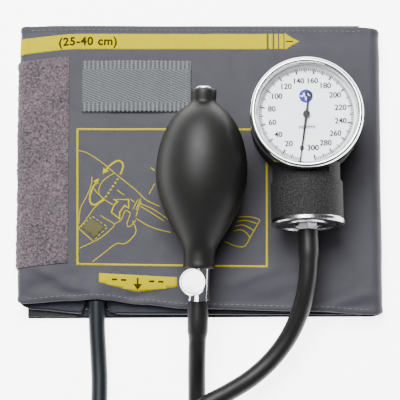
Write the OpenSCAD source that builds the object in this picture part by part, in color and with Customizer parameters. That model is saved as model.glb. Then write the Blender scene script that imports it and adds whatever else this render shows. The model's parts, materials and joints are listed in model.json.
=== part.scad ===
// Aneroid blood pressure monitor: a folded upper arm cuff with the squeeze
// bulb and the gauge lying on it, and three rubber tubes joined by a Y piece.
// Origin: middle of the folded cuff on the table. +X right, +Y away from the
// tubes, +Z up. Millimetres.

/* [Cuff] */
// Width of the folded cuff
cuff_w = 182; // [176:1:188]
// Height of the cuff band
cuff_h = 146; // [140:1:150]
// Thickness of each layer of nylon cloth
cloth_t = 1; // [0.9:0.1:1.1]
// Thickness of the hook tape
hook_t = 1; // [0.8:0.1:1.2]
// Thickness of the loop tape
pile_t = 1.2; // [1:0.1:1.4]
// Thickness of the flat bladder
bladder_t = 3; // [2.5:0.1:3.5]
// Empty gap left inside the flattened cuff
arm_gap = 0.8; // [0.6:0.1:1]

/* [Bulb] */
// Largest radius of the bulb
bulb_r = 22.5; // [21:0.5:24]
// Length from the widest ring to the pole on the inlet side
bulb_top = 35.2; // [34:0.2:37]
// Quarter wave of the long taper on the valve side
bulb_taper = 47.8; // [46:0.2:50]
// Wall of the bulb
bulb_wall = 3; // [2.5:0.1:3.5]
// Radius of the inlet neck
inlet_neck_r = 6.1; // [5.8:0.1:6.5]
// Radius of the valve neck
valve_neck_r = 7.6; // [7:0.1:8]
// Droop of the bulb towards its valve, in degrees
bulb_pitch = 8; // [6:1:9]
// Turn of the bulb on the cuff, in degrees
bulb_turn = -1.6; // [-3:0.2:0]

/* [Release valve] */
// Radius of the valve barrel
barrel_r = 5.3; // [5:0.1:5.6]
// Radius of the knob
knob_r = 6.7; // [6.4:0.1:7]
// Lean of the knob's axis from the vertical, in degrees
knob_lean = 12; // [0:1:20]
// Number of grooves round the knob
knob_grooves = 30; // [20:1:36]

/* [Gauge] */
// Outside radius of the bezel
bezel_r = 27.8; // [27.6:0.1:28.2]
// Outside radius of the drum
drum_r = 17.8; // [17.6:0.1:18]
// Tilt of the dial away from the tubes, in degrees
gauge_tilt = 1; // [0.9:0.1:1.1]
// Turn of the gauge on the cuff, in degrees
gauge_turn = 1; // [0:0.2:2]
// Turn of the pointer from zero to full scale, in degrees
dial_sweep = 342; // [336:1:345]
// Angle from straight down to the zero mark, in degrees
zero_angle = 8.7; // [6:0.1:10]

/* [Movement] */
// Gear module
gear_module = 0.25; // [0.25:0.01:0.26]
// Distance from the sector's pivot to the push pin
lever_arm = 3.3; // [3:0.1:3.6]

/* [Tubes] */
// Outside diameter of the rubber tube
tube_d = 8.5; // [8:0.1:9]
// Sides of each tube
tube_sides = 10; // [8:1:12]

/* [Hidden] */
$fn = 64;

// Levels of the layers of the folded cuff, from the table up
hook_z = 2 * cloth_t;
pile_z = hook_z + hook_t;
middle_z = pile_z + pile_t;
top_lining_z = middle_z + 2 * cloth_t + arm_gap;
bladder_z = top_lining_z + cloth_t;
top_shell_z = bladder_z + bladder_t;
cuff_t = top_shell_z + cloth_t;
left_x = -cuff_w / 2;
right_x = cuff_w / 2;
middle_end_x = right_x - 10;
bottom_end_x = left_x + 5;
left_fold_r = (cuff_t - middle_z) / 2;
right_fold_r = cuff_t / 2;
port_x = -51.5;
port_z = 8;
port_y = -60;
tube_start_y = -66;
notch_w = tube_d + 0.7;

// The bladder, from its left edge to its right edge, with its corners cut off
bladder_x = [-80, 78];
corner_cut = 8;
spigot_r = 2.4;
spigot_l = 12;

// The tapes: across, how far each reaches along X and Y
pile_edge_x = -67;
pile_hidden_x = -62;
pile_mid_y = 5.5;
pile_len = 103;
hook_w = 24;
strap_mid = [-32, 42.3];
strap_len = 55;
strap_w = 26;
strap_t = 1.1;
strap_lift = 0.9;

// Places of the bulb and of the gauge; both lie just clear of the cloth
bulb_place = [0.8, -5.7, cuff_t + 1.01 * bulb_r];
gauge_lift = 17.46;
gauge_place = [52, 20.8, cuff_t + gauge_lift];

// Stations along the bulb's axis, from its widest ring
inlet_neck_y = 41.3;
valve_neck_y = -47.4;
valve_bore_r = 4.2;
inlet_bore_r = 3.6;
flange_y = -62;
barb_end_y = -76;
knob_y = -53.9;
spigot_end_y = -33;
air_r = 1.3;
ball_r = 1.6;
ball_seat_y = 38.4;
inlet_hole_r = 0.9;

// Heights along the knob's axis, from the air line
boss_r = 4.6;
boss_top = 8.6;
needle_r = 1.95;
needle_bore_r = 2.05;
needle_seat_v = 1.9;
nut_top = 10.2;
knob_bottom = 10.8;
knob_top = 14.2;

// Stations along the drum's axis and heights above it
seam_y = -31.2;
drum_end_y = -49.8;
cap_end_y = -52.2;
nozzle_flange_y = -54.5;
drum_wall = 1.2;
neck_r = 16.7;
neck_wall = 1.4;
neck_top_y = -28.3;
case_r = 26.9;
case_back_z = -10.5;
case_floor_z = -9;
case_in_r = 24;
rim_r = 26.2;
glass_r = 25.6;
view_r = 25;
bezel_foot_z = 13;
ledge_z = 15.5;
dial_t = 0.6;
lens_z = 18.4;
lens_t = 1.5;
lip_z = 20.4;
bezel_top_z = 22.8;
pointer_z = 16.9;

// The movement: the sector's pivot stands beside the drum's axis. The sector
// has ten times the teeth of the pinion, counted on a whole circle
pinion_teeth = 10;
sector_teeth = 100;
pitch_r = gear_module * pinion_teeth / 2;
sector_r = gear_module * sector_teeth / 2;
pivot_x = -lever_arm;
pivot_y = -sqrt(pow(pitch_r + sector_r, 2) - lever_arm * lever_arm);
mesh_angle = atan2(-pivot_y, -pivot_x);
half_swing = dial_sweep * pinion_teeth / sector_teeth / 2;
lever_half = 0.6;
pin_r = 0.8;
pin_gap = 0.05;
pin_ball_y = pivot_y - lever_arm * tan(half_swing) - (lever_half + pin_r) / cos(half_swing) - pin_gap;
arbor_r = 0.5;
sector_arbor_r = 0.6;
bearing_gap = 0.05;
lower_plate_z = -6;
upper_plate_z = 4;
plate_t = 1.2;
plate_r = 18;
pillar_spots = [[-13, 3], [13, -7], [5, 13]];
pillar_r = 1.6;
screw_r = 0.8;
rivet_xs = [-3.5, 3.5];
rivet_y = 8;
rivet_r = 0.9;
capsule_r = 15;
capsule_y = -46;

// Routes of the tubes: the middle line, by hand
floor_z = 4.5;
cuff_route = [[-51.5, -66, 8], [-51.2, -80, 6.5], [-50.4, -94, 5], [-49.9, -108, floor_z],
    [-50.6, -124, floor_z], [-54.5, -140, floor_z], [-61.5, -155, floor_z], [-70.5, -170, floor_z],
    [-79, -186, floor_z], [-84.5, -203, floor_z], [-85.5, -220, floor_z], [-80.5, -237, floor_z],
    [-70, -251, floor_z], [-56, -260.5, floor_z], [-40, -264, floor_z]];
bulb_route = [[-1, -68.5, 26], [-1.1, -79.5, 24], [-1.4, -90, 19.5], [-1.6, -99.5, 13.5],
    [-1.6, -109, 8.3], [-1.4, -120, 5], [0, -132, floor_z], [4, -147, floor_z], [11, -161, floor_z],
    [20, -174, floor_z], [29, -188, floor_z], [35, -203, floor_z], [36.5, -219, floor_z],
    [32.5, -237, floor_z], [21.5, -254, floor_z], [4, -265.5, floor_z], [-16, -269.5, floor_z]];
gauge_route = [[52.95, -33.9, 30.42], [53.2, -47, 30.65], [52.4, -59.5, 28], [49.6, -72, 22.4],
    [44, -84.3, 16.8], [35.6, -95.5, 13.5], [25.3, -104.8, 13], [14.4, -111.8, 14.5], [3.5, -117.8, 15.3],
    [-6, -125, 13.5], [-12.5, -136, 9.5], [-14.5, -149, 6], [-12, -162, floor_z],
    [-5.5, -174, floor_z], [4, -185, floor_z], [13, -197, floor_z], [19, -210, floor_z],
    [20, -224, floor_z], [15.5, -238, floor_z], [6, -249.5, floor_z], [-5, -256, floor_z],
    [-16, -258.5, floor_z]];
y_piece = [-28, -264, floor_z];
twin_pitch = 11;

// ---- Frames and helpers ----

// Frame of the bulb and its valves: Y along the air line, towards the inlet
module bulb_frame() {
    translate(bulb_place) rotate([bulb_pitch, 0, bulb_turn]) children();
}

// Frame of the release valve: Z along the knob's axis
module knob_frame() {
    bulb_frame() translate([0, knob_y, 0]) rotate([0, -knob_lean, 0]) children();
}

// Frame of the gauge: Z out of the dial, Y along the drum, away from the tube
module gauge_frame() {
    translate(gauge_place) rotate([-gauge_tilt, 0, gauge_turn]) children();
}

// Turns a shape whose axis is Z so that its axis is Y
module along_y() {
    rotate([-90, 0, 0]) children();
}

// A ring or tube round Z, from z0 to z1
module ring(r_out, r_in, z0, z1) {
    translate([0, 0, z0]) difference() {
        cylinder(r = r_out, h = z1 - z0);
        translate([0, 0, -1]) cylinder(r = r_in, h = z1 - z0 + 2);
    }
}

// A hose barb round Z: a neck with ridges that lean back towards z = 0
module barb(neck, ridge, length, ridges) {
    pitch = length / ridges;
    for (i = [0 : ridges - 1])
        translate([0, 0, i * pitch]) {
            cylinder(r = neck, h = pitch);
            translate([0, 0, pitch * 0.4]) cylinder(r1 = ridge, r2 = neck, h = pitch * 0.6);
        }
}

function polar(r, a) = [r * cos(a), r * sin(a)];
function unit(v) = v / norm(v);

// ---- Cuff ----

// Half of a flat ring, open towards +X, or towards -X when side is -1
module half_ring(x, z, r_out, r_in, side) {
    translate([x, z]) difference() {
        circle(r = r_out);
        circle(r = r_in);
        translate([side > 0 ? 0 : -2 * r_out, -2 * r_out]) square([2 * r_out, 4 * r_out]);
    }
}

module slab(x0, x1, z0, t) {
    translate([x0, z0]) square([x1 - x0, t]);
}

// One layer of the folded band, seen from its lower edge: the top panel goes
// round the left fold into the middle panel, and round the right fold into the
// bottom panel. inset is 0 for the shell and 1 for the lining.
module band_profile(inset) {
    drop = inset * cloth_t;
    top_z = inset == 0 ? top_shell_z : top_lining_z;
    top_edge = top_z + cloth_t;
    middle_edge = middle_z + drop;
    bottom_edge = drop;
    left_r = (top_edge - middle_edge) / 2;
    right_r = (top_edge - bottom_edge) / 2;
    fold_left = left_x + left_fold_r;
    fold_right = right_x - right_fold_r;
    slab(fold_left, fold_right, top_z, cloth_t);
    slab(fold_left, middle_end_x, middle_edge, cloth_t);
    slab(bottom_end_x, fold_right, bottom_edge, cloth_t);
    half_ring(fold_left, middle_edge + left_r, left_r, left_r - cloth_t, 1);
    half_ring(fold_right, bottom_edge + right_r, right_r, right_r - cloth_t, -1);
}

// Room for the tube and its port at the lower edge of the cuff
module port_notch() {
    translate([port_x - notch_w / 2, -cuff_h / 2 - 1, pile_z])
        cube([notch_w, cuff_h / 2 + 1 + port_y, top_shell_z - pile_z]);
    translate([port_x - notch_w / 2, -cuff_h / 2 - 1, pile_z])
        cube([notch_w, cuff_h / 2 + 1 + tube_start_y, cuff_t]);
}

module band(inset) {
    difference() {
        rotate([90, 0, 0]) linear_extrude(height = cuff_h, center = true) band_profile(inset);
        port_notch();
    }
}

module cuff_shell() {
    color("dimgray") band(0);
}

module cuff_lining() {
    color("midnightblue") band(1);
}

// Flat rubber bag in the pocket between the shell and the lining of the top panel
module bladder() {
    color([0.1, 0.1, 0.11]) translate([0, 0, bladder_z]) linear_extrude(height = bladder_t)
        difference() {
            translate([bladder_x[0], port_y]) square([bladder_x[1] - bladder_x[0], -2 * port_y]);
            for (x = bladder_x, y = [port_y, -port_y])
                translate([x, y]) rotate(45) square(corner_cut, center = true);
        }
}

// Moulded spigot that the cuff's tube is pushed on
module bladder_port() {
    color([0.1, 0.1, 0.11]) translate([port_x, port_y, port_z]) rotate([90, 0, 0])
        difference() {
            cylinder(r = spigot_r, h = spigot_l);
            translate([0, 0, -1]) cylinder(r = spigot_r - 1, h = spigot_l + 2);
        }
}

// Loop tape sewn round the left fold
module pile_patch() {
    fold_x = left_x + left_fold_r;
    r = left_fold_r + pile_t;
    color("rosybrown") translate([0, pile_mid_y, 0]) rotate([90, 0, 0])
        linear_extrude(height = pile_len, center = true) {
            slab(fold_x, pile_edge_x, cuff_t, pile_t);
            slab(fold_x, pile_hidden_x, pile_z, pile_t);
            half_ring(fold_x, pile_z + r, r, r - pile_t, 1);
        }
}

// Hook tape on the inner face of the bottom panel's end
module hook_patch() {
    color([0.12, 0.13, 0.16]) translate([bottom_end_x, -cuff_h / 2, hook_z])
        cube([hook_w, cuff_h, hook_t]);
}

// Webbing strap that the gauge's clip hangs on: sewn at its ends, arched between
module gauge_strap() {
    half = strap_len / 2;
    arch = [-15, 13];
    slope = 4;
    under = [[-half, 0], [arch[0] - slope + 1, 0], [arch[0] + 1, strap_lift],
        [arch[1] - 1, strap_lift], [arch[1] + slope - 1, 0], [half, 0]];
    over = [[half, strap_t], [arch[1] + slope, strap_t], [arch[1], strap_t + strap_lift],
        [arch[0], strap_t + strap_lift], [arch[0] - slope, strap_t], [-half, strap_t]];
    color("lightslategray") translate([strap_mid[0], strap_mid[1], cuff_t]) rotate([90, 0, 0])
        linear_extrude(height = strap_w, center = true) polygon(concat(under, over));
}

// ---- Tubes ----

function tangent(route, i) =
    unit(route[min(i + 1, len(route) - 1)] - route[max(i - 1, 0)]);

// A solid tube swept along a route, one ring of points at each station
module tube(route) {
    n = tube_sides;
    last = len(route) - 1;
    points = [for (i = [0 : last])
        let (t = tangent(route, i), side = unit(cross(t, [0, 0, 1])), up = cross(side, t))
            for (k = [0 : n - 1])
                route[i] + tube_d / 2 * (cos(360 * k / n) * side + sin(360 * k / n) * up)];
    walls = [for (i = [0 : last - 1], k = [0 : n - 1])
        [i * n + k, (i + 1) * n + k, (i + 1) * n + (k + 1) % n, i * n + (k + 1) % n]];
    start_cap = [for (k = [0 : n - 1]) k];
    end_cap = [for (k = [n - 1 : -1 : 0]) last * n + k];
    color([0.13, 0.14, 0.15]) polyhedron(points, concat(walls, [start_cap, end_cap]), convexity = 8);
}

module cuff_tube() {
    tube(cuff_route);
}

module bulb_tube() {
    tube(bulb_route);
}

module gauge_tube() {
    tube(gauge_route);
}

// Three-way piece: one barb towards the cuff, two side by side for bulb and gauge
module y_connector() {
    arm_r = 4.1;
    arm_l = 12;
    bore_r = 1.3;
    barb_l = 8;
    bridge_h = 6.4;
    arm_ys = [-twin_pitch / 2, twin_pitch / 2];
    color([0.16, 0.16, 0.17]) translate(y_piece) difference() {
        union() {
            translate([-arm_l, 0, 0]) rotate([0, 90, 0]) cylinder(r = arm_r, h = arm_l + 2);
            translate([-arm_l, 0, 0]) rotate([0, -90, 0]) barb(2.1, 2.6, barb_l, 2);
            translate([0, -twin_pitch / 2, -bridge_h / 2]) cube([arm_l / 2, twin_pitch, bridge_h]);
            for (y = arm_ys) {
                translate([0, y, 0]) rotate([0, 90, 0]) cylinder(r = arm_r, h = arm_l);
                translate([arm_l, y, 0]) rotate([0, 90, 0]) barb(2.1, 2.6, barb_l, 2);
            }
        }
        translate([-arm_l - barb_l - 1, 0, 0]) rotate([0, 90, 0])
            cylinder(r = bore_r, h = arm_l + barb_l + 4);
        for (y = arm_ys)
            translate([2, y, 0]) rotate([0, 90, 0]) cylinder(r = bore_r, h = arm_l + barb_l);
        translate([3, 0, 0]) rotate([90, 0, 0]) cylinder(r = bore_r, h = twin_pitch, center = true);
    }
}

// ---- Bulb and its valves ----

// Outside radius of the bulb at a station along its axis
function bulb_out(y) =
    y > 0 ? max(inlet_neck_r, bulb_r * sqrt(max(0, 1 - pow(y / bulb_top, 2))))
          : max(valve_neck_r, bulb_r * cos(min(90, 90 * -y / bulb_taper)));

// Radius of the air space
function bulb_in(y) =
    max(y > 0 ? inlet_bore_r : valve_bore_r, bulb_out(y) - bulb_wall);

module bulb() {
    step = 2.4;
    inner_ys = [for (y = [30 : -step : -36]) y];
    outer_ys = [for (y = [-44 : step : 34]) y];
    outline = concat(
        [[valve_bore_r, valve_neck_y], [valve_neck_r - 0.8, valve_neck_y],
            [valve_neck_r, valve_neck_y + 0.8]],
        [for (y = outer_ys) [bulb_out(y), y]],
        [[inlet_neck_r, 35], [inlet_neck_r, inlet_neck_y - 0.6], [inlet_neck_r - 0.6, inlet_neck_y],
            [inlet_bore_r, inlet_neck_y], [inlet_bore_r, 30.5]],
        [for (y = inner_ys) [bulb_in(y), y]],
        [[valve_bore_r, -38]]);
    color([0.14, 0.14, 0.14]) bulb_frame() along_y() rotate_extrude() polygon(outline);
}

// Plug in the inlet neck: outside hole, ball seat and ball chamber
module intake_body() {
    cap_r = 4.2;
    outline = [[inlet_hole_r, 42.3], [cap_r - 0.9, 42.3], [cap_r, 41.8], [cap_r, inlet_neck_y],
        [inlet_bore_r, inlet_neck_y], [inlet_bore_r, 30.5], [2.2, 30.5], [2.2, ball_seat_y],
        [inlet_hole_r, ball_seat_y]];
    color("silver") bulb_frame() along_y() rotate_extrude() polygon(outline);
}

module intake_ball() {
    seat_drop = sqrt(ball_r * ball_r - inlet_hole_r * inlet_hole_r) + 0.04;
    color("gainsboro") bulb_frame() translate([0, ball_seat_y - seat_drop, 0]) along_y()
        sphere(r = ball_r);
}

// Slotted ring that keeps the ball in its chamber
module intake_cage() {
    color("goldenrod") bulb_frame() along_y() difference() {
        ring(2.2, 0.8, 32.6, 34.2);
        for (a = [0, 90]) rotate(a) translate([-2.5, -0.35, 33.6]) cube([5, 0.7, 1]);
    }
}

// Barrel between the bulb and the tube, with the boss that holds the needle
module valve_body() {
    outline = [[0, spigot_end_y], [valve_bore_r - 0.5, spigot_end_y], [valve_bore_r, spigot_end_y - 0.5],
        [valve_bore_r, valve_neck_y], [barrel_r, valve_neck_y], [barrel_r, flange_y],
        [barrel_r + 0.3, flange_y], [barrel_r + 0.3, flange_y - 1.2], [0, flange_y - 1.2]];
    color("silver") difference() {
        union() {
            bulb_frame() along_y() rotate_extrude() polygon(outline);
            bulb_frame() translate([0, flange_y - 1.2, 0]) rotate([90, 0, 0])
                barb(2.5, 3.1, flange_y - 1.2 - barb_end_y, 3);
            knob_frame() cylinder(r = boss_r, h = boss_top);
        }
        bulb_frame() translate([0, barb_end_y - 1, 0]) along_y()
            cylinder(r = air_r, h = spigot_end_y - barb_end_y + 2);
        bulb_frame() translate([0, -38, 0]) along_y() cylinder(r = 3.2, h = 6);
        knob_frame() cylinder(r = 1, h = 3);
        knob_frame() translate([0, 0, needle_seat_v]) cylinder(r = needle_bore_r, h = 8);
        knob_frame() translate([0, 0, 7.4]) cylinder(r = 3.3, h = 2);
        knob_frame() translate([0, 0, 3.6]) rotate([0, 90, 0]) cylinder(r = 0.6, h = 6);
    }
}

module outlet_seat() {
    color("goldenrod") bulb_frame() along_y() ring(3.2, air_r, -34.7, -33.2);
}

// Rubber disc that lets air out of the bulb and not back
module outlet_flap() {
    color([0.2, 0.1, 0.08]) bulb_frame() along_y() translate([0, 0, -35.55]) difference() {
        cylinder(r = 2.7, h = 0.8);
        for (a = [0, 120, 240]) rotate(a) translate([2.7, 0, -1]) cylinder(r = 0.7, h = 3);
    }
}

module packing_nut() {
    color("silver") knob_frame() {
        ring(3.3, needle_bore_r, 7.4, boss_top);
        ring(boss_r - 0.4, needle_bore_r, boss_top, nut_top);
    }
}

// Rubber ring in the spindle's groove
module packing_ring() {
    color([0.08, 0.08, 0.08]) knob_frame() ring(2, 1.35, 4.7, 5.7);
}

module needle_spindle() {
    outline = [[0, 1.55], [0.6, 1.55], [needle_r, 2.85], [needle_r, 4.65], [1.3, 4.65], [1.3, 5.75],
        [needle_r, 5.75], [needle_r, knob_bottom], [1.6, knob_bottom], [1.6, 13], [0, 13]];
    color("silver") knob_frame() rotate_extrude() polygon(outline);
}

// Knob: polished cap over a grooved skirt
module release_knob() {
    skirt_r = knob_r - 0.5;
    outline = [[1.6, knob_bottom], [skirt_r - 0.3, knob_bottom], [skirt_r, knob_bottom + 0.3],
        [skirt_r, 12.6], [knob_r - 0.2, 12.6], [knob_r, 12.8], [knob_r, knob_top - 0.5],
        [knob_r - 0.4, knob_top], [knob_r - 0.9, knob_top], [knob_r - 1.2, knob_top - 0.25],
        [2, knob_top - 0.1], [0, knob_top - 0.1], [0, 13], [1.6, 13]];
    color("gainsboro") knob_frame() difference() {
        rotate_extrude() polygon(outline);
        for (i = [0 : knob_grooves - 1])
            rotate(360 * i / knob_grooves) translate([skirt_r + 0.1, 0, knob_bottom - 1])
                cylinder(r = 0.35, h = 2.7);
    }
}

// ---- Gauge case ----

// A straight way for the push pin from the drum into the case
module case_passage() {
    translate([-10, neck_top_y - 3, case_floor_z]) cube([20, 14, 20]);
}

module head_case() {
    cup = [[0, case_back_z], [case_r - 4, case_back_z], [case_r - 1.2, case_back_z + 1.2],
        [case_r, case_back_z + 4], [case_r, bezel_foot_z], [rim_r, bezel_foot_z], [rim_r, lip_z],
        [glass_r, lip_z], [glass_r, ledge_z], [case_in_r, ledge_z], [case_in_r, case_floor_z],
        [0, case_floor_z]];
    color([0.11, 0.11, 0.12]) gauge_frame() difference() {
        union() {
            rotate_extrude() polygon(cup);
            translate([0, seam_y, 0]) along_y() cylinder(r = neck_r, h = neck_top_y - seam_y);
            difference() {
                translate([0, neck_top_y, 0]) along_y() cylinder(r = neck_r, h = 12);
                translate([-30, neck_top_y - 1, bezel_foot_z - 0.1]) cube([60, 20, 20]);
                translate([0, 0, case_floor_z - 20]) cylinder(r = case_in_r, h = 60);
            }
            translate([0, seam_y - 3, 0]) along_y() cylinder(r = drum_r - drum_wall, h = 3);
        }
        translate([0, seam_y - 4, 0]) along_y()
            cylinder(r = neck_r - neck_wall, h = neck_top_y - 1 - seam_y + 4);
        case_passage();
        for (x = rivet_xs) translate([x, rivet_y, case_back_z - 1]) cylinder(r = rivet_r, h = 4);
    }
}

// Pressed shell of the drum
module drum_shell() {
    color([0.15, 0.15, 0.15]) gauge_frame() along_y()
        ring(drum_r, drum_r - drum_wall, drum_end_y, seam_y);
}

// Bright end cap of the drum, with its dished end
module drum_cap() {
    in_r = drum_r - drum_wall;
    outline = [[3, -50.2], [in_r - 1, -50.2], [in_r - 1, -47.5], [in_r, -47.5], [in_r, drum_end_y],
        [drum_r + 0.3, drum_end_y], [drum_r + 0.5, drum_end_y - 0.4], [drum_r + 0.5, cap_end_y + 0.6],
        [drum_r, cap_end_y], [in_r - 0.8, cap_end_y], [in_r - 1.6, -51.4], [10, -51.4],
        [9.4, -51.9], [8.4, -51.9], [7.8, -51.4], [3, -51.4]];
    color("silver") gauge_frame() along_y() rotate_extrude() polygon(outline);
}

// Hex nozzle: stem through the cap, barb for the tube
module hose_nozzle() {
    color("silver") gauge_frame() difference() {
        union() {
            translate([0, nozzle_flange_y, 0]) along_y() rotate(30) cylinder(r = 5.2, h = 3.1, $fn = 6);
            translate([0, nozzle_flange_y, 0]) along_y() cylinder(r = 3, h = capsule_y - nozzle_flange_y);
            translate([0, nozzle_flange_y, 0]) rotate([90, 0, 0]) barb(2.5, 3.1, 12, 3);
        }
        translate([0, -70, 0]) along_y() cylinder(r = 1.2, h = 30);
    }
}

module nozzle_nut() {
    color("goldenrod") gauge_frame() translate([0, -50.2, 0]) along_y() difference() {
        cylinder(r = 5.4, h = 2.4, $fn = 6);
        translate([0, 0, -1]) cylinder(r = 3, h = 5);
    }
}

// ---- Pressure capsule and movement ----

// Fixed dish of the capsule, on the nozzle
module capsule_rear() {
    outline = [[1.2, capsule_y], [capsule_r, capsule_y], [capsule_r, -41.5], [capsule_r - 0.8, -41.5],
        [capsule_r - 0.8, capsule_y + 0.8], [11, capsule_y + 0.8], [9.5, capsule_y + 1.2],
        [8, capsule_y + 0.8], [1.2, capsule_y + 0.8]];
    color("goldenrod") gauge_frame() along_y() rotate_extrude() polygon(outline);
}

// Moving dish of the capsule: pressure pushes it into the case
module capsule_front() {
    r = capsule_r - 0.9;
    outline = [[0, -41.7], [8, -41.7], [9.5, -42.1], [11, -41.7], [r - 0.8, -41.7], [r - 0.8, -44.6],
        [r, -44.6], [r, -40.9], [11, -40.9], [9.5, -41.3], [8, -40.9], [2.5, -40.9],
        [2.5, -39.7], [0, -39.7]];
    color("goldenrod") gauge_frame() along_y() rotate_extrude() polygon(outline);
}

module push_pin() {
    color("gainsboro") gauge_frame() {
        translate([0, -39.7, 0]) along_y() cylinder(r = pin_r, h = pin_ball_y + 39.7);
        translate([0, pin_ball_y, 0]) sphere(r = pin_r);
    }
}

// A round movement plate with its bearings and its screw or foot holes
module movement_plate(z, hole_r) {
    difference() {
        translate([0, 0, z]) cylinder(r = plate_r, h = plate_t);
        translate([0, 0, z - 1]) cylinder(r = arbor_r + bearing_gap, h = 4);
        translate([pivot_x, pivot_y, z - 1]) cylinder(r = sector_arbor_r + bearing_gap, h = 4);
        for (p = pillar_spots) translate([p[0], p[1], z - 1]) cylinder(r = hole_r, h = 4);
    }
}

module movement_plate_lower() {
    color("goldenrod") gauge_frame() movement_plate(lower_plate_z, pillar_r);
}

// Upper plate, with the post that holds the hairspring's outer end
module movement_plate_upper() {
    color("goldenrod") gauge_frame() {
        movement_plate(upper_plate_z, screw_r);
        translate([5.5, 0, 2]) cylinder(r = 0.3, h = upper_plate_z - 2);
    }
}

// Pillars from the case's floor, through the lower plate, to the upper plate
module plate_pillars() {
    color("goldenrod") gauge_frame() for (p = pillar_spots) translate([p[0], p[1], 0]) difference() {
        translate([0, 0, case_floor_z]) cylinder(r = pillar_r, h = upper_plate_z - case_floor_z);
        cylinder(r = screw_r, h = 10);
    }
}

module plate_screws() {
    top = upper_plate_z + plate_t;
    color("silver") gauge_frame() for (p = pillar_spots) translate([p[0], p[1], 0]) difference() {
        union() {
            translate([0, 0, 0.2]) cylinder(r = screw_r, h = top - 0.2);
            translate([0, 0, top]) cylinder(r = 1.7, h = 1);
        }
        translate([-2, -0.2, top + 0.5]) cube([4, 0.4, 1]);
    }
}

// Involute function of a pressure angle, in degrees
function involute(a) = tan(a) * 180 / PI - a;

// Half the angle of a tooth at radius r, thinned by slack
function tooth_half(teeth, r, slack) =
    let (base = gear_module * teeth / 2 * cos(20))
        90 / teeth - slack + involute(20) - (r > base ? involute(acos(base / r)) : 0);

// Points of one tooth round the direction a, from root to tip and back
function tooth(teeth, root, tip, slack, a) =
    let (rs = [for (share = [0, 0.3, 0.55, 0.8, 1]) root + share * (tip - root)])
        concat([for (r = rs) polar(r, a - tooth_half(teeth, r, slack))],
            [for (i = [4 : -1 : 0]) polar(rs[i], a + tooth_half(teeth, rs[i], slack))]);

// Pinion that turns the pointer, with its arbor
module pointer_arbor() {
    root = pitch_r - 1.25 * gear_module;
    tip = pitch_r + gear_module;
    step = 360 / pinion_teeth;
    outline = [for (i = [0 : pinion_teeth - 1])
        each tooth(pinion_teeth, root, tip, 1, mesh_angle + 180 + step / 2 + i * step)];
    color("goldenrod") gauge_frame() {
        translate([0, 0, -0.3]) linear_extrude(height = 1.6) polygon(outline);
        translate([0, 0, -4.8]) cylinder(r = 0.8, h = 8.6);
        translate([0, 0, 1.8]) cylinder(r = 1.2, h = 0.8);
        translate([0, 0, -5.8]) cylinder(r = arbor_r, h = 23.7);
    }
}

// Toothed sector: rim, web, hub and the lever that the push pin pushes
module sector_gear() {
    root = sector_r - 1.25 * gear_module;
    tip = sector_r + 0.55 * gear_module;
    step = 360 / sector_teeth;
    first = -12;
    last = 2;
    rim = concat(
        [for (k = [first : last]) each tooth(sector_teeth, root, tip, 0.1, mesh_angle + k * step)],
        [for (k = [last : -1 : first]) polar(10.6, mesh_angle + k * step)]);
    web_a = mesh_angle + (first + last) / 2 * step;
    color("goldenrod") gauge_frame() translate([pivot_x, pivot_y, 0]) linear_extrude(height = 1)
        difference() {
            union() {
                polygon(rim);
                polygon([polar(1, web_a - 90), polar(10.9, web_a - 12),
                    polar(10.9, web_a + 12), polar(1, web_a + 90)]);
                circle(r = 1.9);
                rotate(-half_swing) translate([0, -lever_half]) square([4.8, 2 * lever_half]);
            }
            circle(r = sector_arbor_r);
        }
}

module sector_arbor() {
    color("silver") gauge_frame() translate([pivot_x, pivot_y, -5.6])
        cylinder(r = sector_arbor_r, h = 10.4);
}

// Flat spiral that brings the pointer back to zero
module hairspring() {
    turns = 4;
    steps = 24 * turns;
    inner = 1.5;
    outer = 5;
    wire = 0.12;
    function spiral_r(i) = inner + (outer - inner) * i / steps;
    outline = concat(
        [for (i = [0 : steps]) polar(spiral_r(i), i * 15)],
        [for (i = [steps : -1 : 0]) polar(spiral_r(i) + wire, i * 15)]);
    color("steelblue") gauge_frame() translate([0, 0, 2]) linear_extrude(height = 0.5) polygon(outline);
}

module dial_plate() {
    color("white") gauge_frame() ring(glass_r, 1.3, ledge_z, ledge_z + dial_t);
}

// White spacer between the dial and the glass
module dial_ring() {
    color("gainsboro") gauge_frame() ring(glass_r, view_r, ledge_z + dial_t, lens_z);
}

// Pointer at zero, with a ring on its tail
module pointer() {
    tip_y = -22.4;
    tail_y = 10;
    color([0.05, 0.05, 0.05]) gauge_frame() rotate(-zero_angle) difference() {
        union() {
            translate([0, 0, pointer_z]) linear_extrude(height = 0.4) {
                polygon([[-0.7, 0], [-0.25, tip_y], [0.25, tip_y], [0.7, 0],
                    [0.4, tail_y - 1.5], [-0.4, tail_y - 1.5]]);
                difference() {
                    translate([0, tail_y]) circle(r = 1.7);
                    translate([0, tail_y]) circle(r = 0.9);
                }
            }
            translate([0, 0, pointer_z - 0.2]) cylinder(r = 1.75, h = 1.2);
        }
        translate([0, 0, pointer_z - 1]) cylinder(r = arbor_r, h = 4);
    }
}

module lens() {
    color([0.8, 0.9, 1, 0.3]) gauge_frame() translate([0, 0, lens_z]) cylinder(r = glass_r, h = lens_t);
}

module lens_gasket() {
    color([0.1, 0.1, 0.1]) gauge_frame() ring(glass_r, view_r, lens_z + lens_t, lip_z);
}

// Bright ring that holds the glass down
module bezel() {
    outline = [[rim_r, bezel_foot_z], [bezel_r - 0.3, bezel_foot_z], [bezel_r, bezel_foot_z + 0.4],
        [bezel_r, 20.6], [bezel_r - 0.2, 21.6], [bezel_r - 0.8, 22.4], [bezel_r - 1.5, bezel_top_z],
        [bezel_r - 2, 22.6], [view_r + 0.2, 21.1], [view_r, 20.9], [view_r, lip_z], [rim_r, lip_z]];
    color("silver") gauge_frame() rotate_extrude() polygon(outline);
}

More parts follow.
